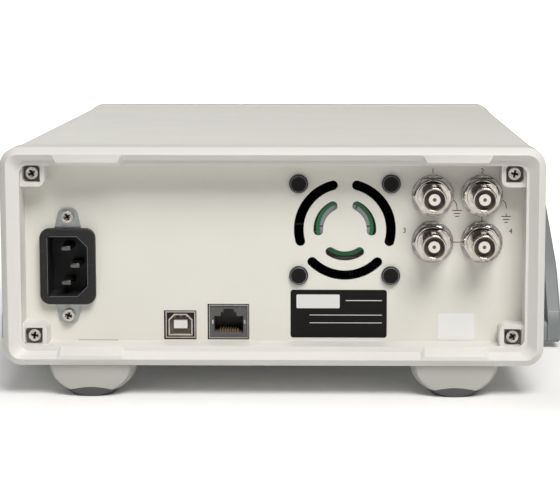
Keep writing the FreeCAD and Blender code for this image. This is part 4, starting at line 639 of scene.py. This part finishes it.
PANEL_FACE = in_mm("rear_panel")[1].y
PRINT = (PANEL_FACE - 0.02, PANEL_FACE + 0.05)
WASHER_RADIUS = 8.4
BNC_COLUMN = 19.7
BNC_ROW = 18.7
OUTPUT_PITCH = 34.0
washers_low, washers_high = in_mm("bnc_lock_washers")
far_input = washers_low.x + WASHER_RADIUS
near_input = far_input + BNC_COLUMN
high_input = washers_high.z - WASHER_RADIUS
low_input = high_input - BNC_ROW


def earth_sign(maker, x, z):
    """Three bars, each shorter than the one above."""
    for i, width in enumerate((3.8, 2.6, 1.45)):
        slab(maker, about(x, width), PRINT, about(z - i * 1.2, 0.34))


def quarter_stem(start, end, steps=8):
    """A line that leaves sideways and ends going down."""
    return [(start[0] + (end[0] - start[0]) * math.sin(math.radians(90.0 * i / steps)),
             end[1] + (start[1] - end[1]) * math.cos(math.radians(90.0 * i / steps))) for i in range(steps + 1)]


def print_rear():
    """Earth signs with their stems, and the lines that link the inputs."""
    maker = bmesh.new()
    ribbon(maker, quarter_stem((near_input - WASHER_RADIUS + 0.2, high_input - 1.9),
                               (near_input - WASHER_RADIUS - 1.4, high_input - 5.7)), 0.28, PRINT)
    earth_sign(maker, near_input - WASHER_RADIUS - 1.4, high_input - 5.9)
    ribbon(maker, quarter_stem((far_input - WASHER_RADIUS + 0.2, high_input - 1.9),
                               (far_input - WASHER_RADIUS - 1.3, high_input - 5.0)), 0.28, PRINT)
    ribbon(maker, [(far_input - WASHER_RADIUS - 1.3, high_input - 7.2),
                   (far_input - WASHER_RADIUS - 1.3, high_input - 8.3)], 0.28, PRINT)
    earth_sign(maker, far_input - WASHER_RADIUS - 1.3, high_input - 8.3)
    slab(maker, about(far_input, 0.3), PRINT, (low_input + WASHER_RADIUS - 0.2, high_input - WASHER_RADIUS + 0.2))
    slab(maker, (far_input + WASHER_RADIUS - 0.2, near_input - WASHER_RADIUS + 0.2), PRINT, about(low_input, 0.28))
    finish_piece("rear_printing", maker, INK, "case")
    for text, x, z in (("1", near_input, high_input + 9.9), ("2", far_input, high_input + 9.9),
                       ("3", near_input + 11.2, low_input + 4.6), ("4", far_input - 11.6, low_input + 4.4)):
        legend(f"input_number_{text}", text, 2.9, (x, PRINT[1], z), 1, INK, "case")


def plates():
    """The black type plate with blank fields and the blank white sticker."""
    maker = bmesh.new()
    prism(maker, rounded((-45.6, -6.8), (21.6, 41.1), 1.1), (PANEL_FACE - 0.02, PANEL_FACE + 0.12))
    finish_piece("type_plate", maker, PLATE_AND_SHADOW, "case")
    maker = bmesh.new()
    top = (PANEL_FACE + 0.1, PANEL_FACE + 0.15)
    for x, z in (((-43.6, -29.0), (36.6, 36.9)), ((-43.6, -14.5), (30.7, 30.95)), ((-43.6, -14.5), (27.5, 27.75))):
        slab(maker, x, top, z)
    prism(maker, rounded((-26.6, -9.2), (33.6, 39.2), 0.5), top)
    finish_piece("type_plate_fields", maker, WHITE_INK, "case")
    maker = bmesh.new()
    prism(maker, rounded((-80.8, -66.3), (20.9, 31.7), 0.4), (PANEL_FACE - 0.02, PANEL_FACE + 0.13))
    finish_piece("blank_sticker", maker, PAPER, "case")


def fan_face():
    """The label on the fan's fixed hub, seen through the inner slots, and one of its wires."""
    centre = middle_of("fan_housing")
    spot = (centre.x, centre.z + 0.7)
    face = PANEL_FACE - 2.0
    for name, radii, material, y in (("fan_label_grey", (0.5, 10.1), GREY_AND_SHEEN, (face, face + 0.08)),
                                     ("fan_label_green", (10.0, 11.5), GREEN, (face, face + 0.1))):
        maker = bmesh.new()
        disc_ring(maker, spot, radii, y)
        finish_piece(name, maker, material, "case")
    maker = bmesh.new()
    slab(maker, (centre.x + 7.3, centre.x + 8.6), (face + 0.05, face + 0.45), (centre.z - 9.9, centre.z - 8.9), 0.2)
    finish_piece("fan_wire_red", maker, RED, "case")
    maker = bmesh.new()
    for angle in (3.0, 177.0, 120.0):
        turned = math.radians(angle)
        ribbon(maker, [(spot[0] + r * math.cos(turned), spot[1] + r * math.sin(turned)) for r in (8.9, 10.0)],
               0.5, (face + 0.07, face + 0.11))
    finish_piece("fan_label_ticks", maker, INK, "case")


def rivet_faces():
    """A lighter grey ring on each snap rivet's rim, a painted sheen, and the dark dimple of each."""
    low, high = in_mm("fan_rivets")
    radius = 3.8
    for i, x in enumerate((low.x + radius, high.x - radius)):
        for j, z in enumerate((low.z + radius, high.z - radius)):
            # Painted sheen: a lighter grey ring on the glossy black rim.
            maker = bmesh.new()
            disc_ring(maker, (x, z), (3.15, 3.3), (high.y - 0.25, high.y + 0.03))
            finish_piece(f"rivet_rim_sheen_{i}_{j}", maker, GREY_AND_SHEEN, "case")
            maker = bmesh.new()
            disc_ring(maker, (x, z), (0.02, 2.6), (high.y - 0.6, high.y - 0.02))
            finish_piece(f"rivet_dimple_{i}_{j}", maker, PLATE_AND_SHADOW, "case")


def inlet_edge():
    """Painted highlight: the lighter raised line along the edge around the inlet's mouth, just inside the flange."""
    low, high = in_mm("inlet_body")
    middle_x, middle_z = (low.x + high.x) / 2, (low.z + high.z) / 2
    half_x, half_z, cut = 8.05, 12.15, 4.2
    maker = bmesh.new()
    x = (middle_x - half_x, middle_x + half_x)
    z = (middle_z - half_z, middle_z + half_z)
    # Painted highlight: a lighter line along the mouth's edge.
    ribbon(maker, [(x[1], z[0] + 0.8), (x[1], z[1] - 0.8)], 0.16, (high.y - 0.1, high.y + 0.02))
    ribbon(maker, [(x[1] - 0.8, z[1]), (x[0] + cut, z[1]), (x[0], z[1] - cut), (x[0], z[0] + cut), (x[0] + cut, z[0]),
                   (x[1] - 0.8, z[0])], 0.16, (high.y - 0.1, high.y + 0.02))
    finish_piece("inlet_mouth_highlight", maker, KNOB_AND_HIGHLIGHT, "case")


def screw_pockets():
    """The corner pockets' floors coloured dark brown as painted shade, two round corners in each, and the shadow in
    each screw's cross.
    """
    low, high = in_mm("corner_screws")
    head = 2.45
    wide, tall, corner = 6.96, 6.66, 1.7
    top = high.y
    floor = top - 1.8
    for x_side, x in ((-1, low.x + head), (1, high.x - head)):
        for z_side, z in ((-1, low.z + head), (1, high.z - head)):
            name = f"{'left' if x_side > 0 else 'right'}_{'upper' if z_side > 0 else 'lower'}"
            maker = bmesh.new()
            # Painted shade: the pocket's floor in dark brown.
            slab(maker, about(x, wide), (floor - 0.02, floor + 0.06), about(z, tall))
            finish_piece(f"pocket_floor_{name}", maker, PAINTED_SHADE, "case")
            maker = bmesh.new()
            for side in (-1, 1):
                end_x, end_z = x + side * x_side * wide / 2, z - side * z_side * tall / 2
                in_x, in_z = -side * x_side * corner, side * z_side * corner
                arc = [(end_x + in_x * (1 - math.cos(a)), end_z + in_z * (1 - math.sin(a)))
                       for a in (math.radians(15.0 * i) for i in range(7))]
                prism(maker, [(end_x, end_z)] + arc, (floor, top + 1.2))
            finish_piece(f"pocket_corners_{name}", maker, CASE, "case")
            maker = bmesh.new()
            for turn in (35.0, 125.0):
                angle = math.radians(turn + 20.0 * x_side * z_side)
                reach = Vector((math.cos(angle), math.sin(angle))) * 1.3
                ribbon(maker, [(x - reach.x, z - reach.y), (x + reach.x, z + reach.y)], 0.75, (top - 0.2, top + 0.01))
            finish_piece(f"screw_cross_{name}", maker, PLATE_AND_SHADOW, "case")


def screw_crosses():
    """The shadow in the crosses of the inlet's two screws."""
    low, high = in_mm("inlet_screws")
    x = (low.x + high.x) / 2
    for i, z in enumerate((low.z + 2.45, high.z - 2.45)):
        maker = bmesh.new()
        for turn in (28.0, 118.0):
            reach = Vector((math.cos(math.radians(turn + 25 * i)), math.sin(math.radians(turn + 25 * i)))) * 1.3
            ribbon(maker, [(x - reach.x, z - reach.y), (x + reach.x, z + reach.y)], 0.65, (high.y - 0.2, high.y + 0.01))
        finish_piece(f"inlet_screw_cross_{i + 1}", maker, PLATE_AND_SHADOW, "case")


def tab_lips():
    """The flat lips of the two upper tabs, at the rim's crest."""
    crest = in_mm("rear_bezel")[1].y
    for name, side in (("left", 1), ("right", -1)):
        maker = bmesh.new()
        prism(maker, [(side * 60.6, 93.6), (side * 85.0, 93.6), (side * 86.6, 97.0), (side * 59.0, 97.0)],
              (crest - 1.9, crest - 0.05))
        bmesh.ops.bevel(maker, geom=maker.edges[:], offset=0.45 * MM, affect="EDGES", segments=3, profile=0.5,
                        material=-1)
        finish_piece(f"tab_lip_{name}", maker, CASE, "case")


def port_gaps():
    """Painted shade: dark strips in the gaps between the panel and the two square ports."""
    usb_low, usb_high = in_mm("usb_tongues")
    lan_low, lan_high = in_mm("lan_shield")
    usb_x = usb_high.x + 3.35
    ends = (PANEL_FACE - 0.3, PANEL_FACE + 0.03)
    for name, x, z in (("usb", (usb_x - 12.2, usb_x), (lan_low.z, lan_low.z + 11.0)),
                       ("lan", (lan_low.x, lan_high.x), (lan_low.z, lan_high.z))):
        maker = bmesh.new()
        slab(maker, (x[1], x[1] + 0.55), ends, (z[0] - 0.45, z[1] + 0.35))
        slab(maker, (x[0] - 0.15, x[1] + 0.2), ends, (z[1], z[1] + 0.35))
        slab(maker, (x[0] - 0.15, x[1] + 0.2), ends, (z[0] - 0.45, z[0]))
        finish_piece(f"{name}_gap", maker, BLACK_AND_SHADE, "case")


def input_faces():
    """Painted shade as a dark brown wall and floor in the bore of each input and output, with the white face and the
    brown contact.
    """
    for name, y_tip, way, places in (
            ("input", in_mm("bnc_bodies")[1].y, -1,
             [(x, z) for x in (near_input, far_input) for z in (high_input, low_input)]),
            ("output", in_mm("bnc_bodies")[0].y, 1,
             [(x, washers_low.z + WASHER_RADIUS) for x in (washers_high.x - WASHER_RADIUS,
                                                           washers_high.x - WASHER_RADIUS - OUTPUT_PITCH)])):
        for i, spot in enumerate(places):
            for title, radii, depths, material, slot in (
                    ("wall_shade", (3.86, 4.0), (0.35, 3.6), DEEP_SHADE, "dark_plastic"),
                    ("bore_floor", (2.2, 3.9), (3.5, 3.6), DEEP_SHADE, "dark_plastic"),
                    ("white_face", (0.78, 2.3), (1.2, 3.5), WHITE, "white_plastic"),
                    ("contact", (0.3, 0.8), (1.3, 3.5), CONTACT, "gold")):
                maker = bmesh.new()
                ends = tuple(sorted((y_tip + way * depths[0], y_tip + way * depths[1])))
                disc_ring(maker, spot, radii, ends, 40)
                finish_piece(f"{name}_{i + 1}_{title}", maker, material, "case")


def usb_b_face():
    """The dark moulding and the bright inner shield of the square USB port, with painted shade on its floor and in its
    two holes.
    """
    low, high = in_mm("usb_tongues")
    tongue_x = high.x - 2.75
    tongue_z = low.z + 1.7
    face = PANEL_FACE - 0.4
    hole = (9.3, 8.4)
    chamfer = 2.2

    def d_outline(grow):
        x, z = about(tongue_x, hole[0] + grow * 2), about(tongue_z, hole[1] + grow * 2)
        c = chamfer + grow * 0.4
        return [(x[0], z[0]), (x[1], z[0]), (x[1], z[1] - c), (x[1] - c, z[1]), (x[0] + c, z[1]), (x[0], z[1] - c)]

    def plate(name, outer, inner, y, material):
        maker = bmesh.new()
        rings = [[maker.verts.new(Vector((px, level, pz)) * MM) for px, pz in outline]
                 for level in y for outline in (outer, inner)]
        count = len(outer)
        for i in range(count):
            j = (i + 1) % count
            for a, b in ((0, 1), (1, 3), (3, 2), (2, 0)):
                maker.faces.new((rings[a][i], rings[b][i], rings[b][j], rings[a][j]))
        finish_piece(name, maker, material, "case")

    x, z = about(tongue_x, 11.2), about(tongue_z, 10.0)
    square = [(x[0], z[0]), (x[1], z[0]), (x[1], z[1] - 2.4), (x[1] - 0.01, z[1]), (x[0] + 0.01, z[1]), (x[0], z[1] - 2.4)]
    plate("usb_b_moulding", square, d_outline(0.0), (face - 0.05, face + 0.06), BLACK_AND_SHADE)
    plate("usb_b_shield_edge", d_outline(0.22), d_outline(-0.3), (face - 6.0, face + 0.2), NICKEL)
    maker = bmesh.new()
    slab(maker, about(tongue_x, hole[0] - 1.4), (face - 1.0, face + 0.25),
         (tongue_z - hole[1] / 2 + 0.05, tongue_z - hole[1] / 2 + 0.75), 0.15)
    finish_piece("usb_b_lower_edge", maker, NICKEL, "case")
    # Painted shade: two black patches for the holes above the tongue.
    maker = bmesh.new()
    for side in (-1, 1):
        slab(maker, about(tongue_x + side * 1.25, 1.2), (face - 2.4, face - 2.15), about(tongue_z + 3.2, 1.4))
    finish_piece("usb_b_holes", maker, BLACK_AND_SHADE, "case")
    # Painted shade: a dark brown floor inside the D, where the shield lies in shade.
    x, z = about(tongue_x, 6.1), about(tongue_z, 3.9)
    inner = [(x[0], z[0]), (x[1], z[0]), (x[1], z[1]), (tongue_x, z[1] + 0.01), (x[0], z[1]), (x[0], z[0] + 0.01)]
    plate("usb_b_floor", d_outline(-0.1), inner, (face - 2.5, face - 2.3), DEEP_SHADE)


def lan_springs():
    """The two bright side springs of the network jack."""
    shield_low, shield_high = in_mm("lan_shield")
    maker = bmesh.new()
    for edge, way in ((shield_low.x, 1), (shield_high.x, -1)):
        start = edge + way * 1.25
        slab(maker, tuple(sorted((start, start + way * 0.55))), (PANEL_FACE - 1.0, PANEL_FACE - 0.35),
             about(shield_low.z + 7.0, 2.3), 0.1)
    finish_piece("lan_springs", maker, NICKEL, "case")


def panel_gap():
    """Painted shade: the dark line where the panel's lower edge stands clear of the bezel."""
    maker = bmesh.new()
    edge = 20.25
    slab(maker, (63.0, 79.0), (PANEL_FACE - 0.02, PANEL_FACE + 0.04), (edge, edge + 0.18))
    finish_piece("panel_gap", maker, PAINTED_SHADE, "case")


print_rear()
plates()
fan_face()
rivet_faces()
inlet_edge()
screw_pockets()
screw_crosses()
tab_lips()
port_gaps()
input_faces()
usb_b_face()
lan_springs()
panel_gap()


# Front: display contents and legends

def display_contents():
    """A lit screen with a frame, a sine over a grid, plain numerals and five blank tabs."""
    low, high = in_mm("display_module")
    face = low.y
    x = (low.x + 1.6, high.x - 1.6)
    z = (low.z + 1.4, high.z - 1.4)
    maker = bmesh.new()
    slab(maker, x, (face - 0.1, face + 0.02), z)
    finish_piece("screen_ground", maker, SCREEN, "case")
    maker = bmesh.new()
    front = (face - 0.16, face - 0.08)
    tab_top = z[0] + 7.4
    grid_x = (x[0] + 2.5, x[1] - 2.5)
    grid_z = (tab_top + 3.0, tab_top + 25.0)
    for i in range(9):
        at = grid_x[0] + (grid_x[1] - grid_x[0]) * i / 8
        slab(maker, about(at, 0.12), front, grid_z)
    for i in range(5):
        at = grid_z[0] + (grid_z[1] - grid_z[0]) * i / 4
        slab(maker, grid_x, front, about(at, 0.12))
    slab(maker, (x[0] + 1.5, x[1] - 1.5), front, about(z[1] - 6.6, 0.3))
    finish_piece("screen_grid", maker, SCREEN_LINE, "case")
    maker = bmesh.new()
    middle_z = (grid_z[0] + grid_z[1]) / 2
    steps = 96
    wave = [(grid_x[0] + (grid_x[1] - grid_x[0]) * i / steps,
             middle_z + 8.6 * math.sin(math.radians(360.0 * 2.0 * i / steps))) for i in range(steps + 1)]
    ribbon(maker, wave, 0.42, (face - 0.22, face - 0.14))
    finish_piece("screen_wave", maker, TRACE, "case")
    maker = bmesh.new()
    tab = (x[1] - x[0]) / 5
    for i in range(5):
        start = x[0] + i * tab
        prism(maker, rounded((start + 0.5, start + tab - 0.5), (z[0] + 0.7, tab_top - 0.9), 0.7), front)
    finish_piece("screen_tabs", maker, SCREEN_TAB, "case")
    for name, text, size, at_x, at_z in (("screen_frequency", "1.000000", 6.4, x[0] + 22.0, z[1] - 13.0),
                                         ("screen_channel", "1", 4.2, x[0] + 4.0, z[1] - 3.6),
                                         ("screen_amplitude", "2.50", 4.6, x[1] - 11.0, z[1] - 13.0)):
        legend(name, text, size, (at_x, face - 0.16, at_z), -1, TRACE, "case")


def key_legends():
    """A numeral or sign on each number key, a bar on each other key, and numbers over the outputs."""
    signs = {"point": ".", "sign": "+/-"}
    for name in nodes:
        if not name.startswith(("number_key", "soft_key", "output_key")):
            continue
        low, high = in_mm(name)
        centre = (low + high) / 2
        body = body_of[name]
        if name.startswith("number_key"):
            text = name.split("_")[-1]
            size = {"point": 9.0, "sign": 4.2}.get(text, 5.0)
            legend(f"{name}_legend", signs.get(text, text), size, (centre.x, low.y, centre.z), -1, INK, body)
        elif name.startswith("output_key"):
            legend(f"{name}_legend", name.split("_")[-1], 3.6, (centre.x, low.y, centre.z), -1, INK, body)
        else:
            maker = bmesh.new()
            slab(maker, about(centre.x, 3.4), (low.y - 0.03, low.y + 0.03), about(centre.z, 0.5))
            finish_piece(f"{name}_legend", maker, INK, body)


def power_sign():
    """The broken ring and bar on the power button."""
    low, high = in_mm("power_button")
    centre = (low + high) / 2
    maker = bmesh.new()
    ends = (low.y - 0.03, low.y + 0.03)
    disc_ring(maker, (centre.x, centre.z), (1.45, 1.85), ends, 32, (125.0, 415.0))
    slab(maker, about(centre.x, 0.4), ends, (centre.z + 0.3, centre.z + 2.2))
    finish_piece("power_sign", maker, WHITE_INK, body_of["power_button"])


def front_printing():
    """Frames around the outputs and the knob's scale."""
    panel_low = in_mm("front_panel")[0]
    face = panel_low.y
    ends = (face - 0.04, face + 0.02)
    maker = bmesh.new()
    output_z = washers_low.z + WASHER_RADIUS
    far_output = washers_high.x - WASHER_RADIUS
    near_output = far_output - OUTPUT_PITCH
    for x in (near_output, far_output):
        disc_ring(maker, (x, output_z), (9.6, 9.9), ends, 64, (120.0, 420.0))
    knob = middle_of("knob")
    for i in range(11):
        angle = math.radians(-30.0 + 24.0 * i)
        ribbon(maker, [(knob.x + r * math.cos(angle), knob.z + r * math.sin(angle)) for r in (17.0, 18.4)], 0.3, ends)
    finish_piece("front_printing", maker, INK, "case")


display_contents()
key_legends()
power_sign()
front_printing()


# Floor

floor_maker = bmesh.new()
bmesh.ops.create_grid(floor_maker, x_segments=1, y_segments=1, size=40.0)
floor_mesh = bpy.data.meshes.new("floor")
floor_maker.to_mesh(floor_mesh)
floor_maker.free()
floor = bpy.data.objects.new("floor", floor_mesh)
floor_mesh.materials.append(FLOOR)
bpy.context.scene.collection.objects.link(floor)
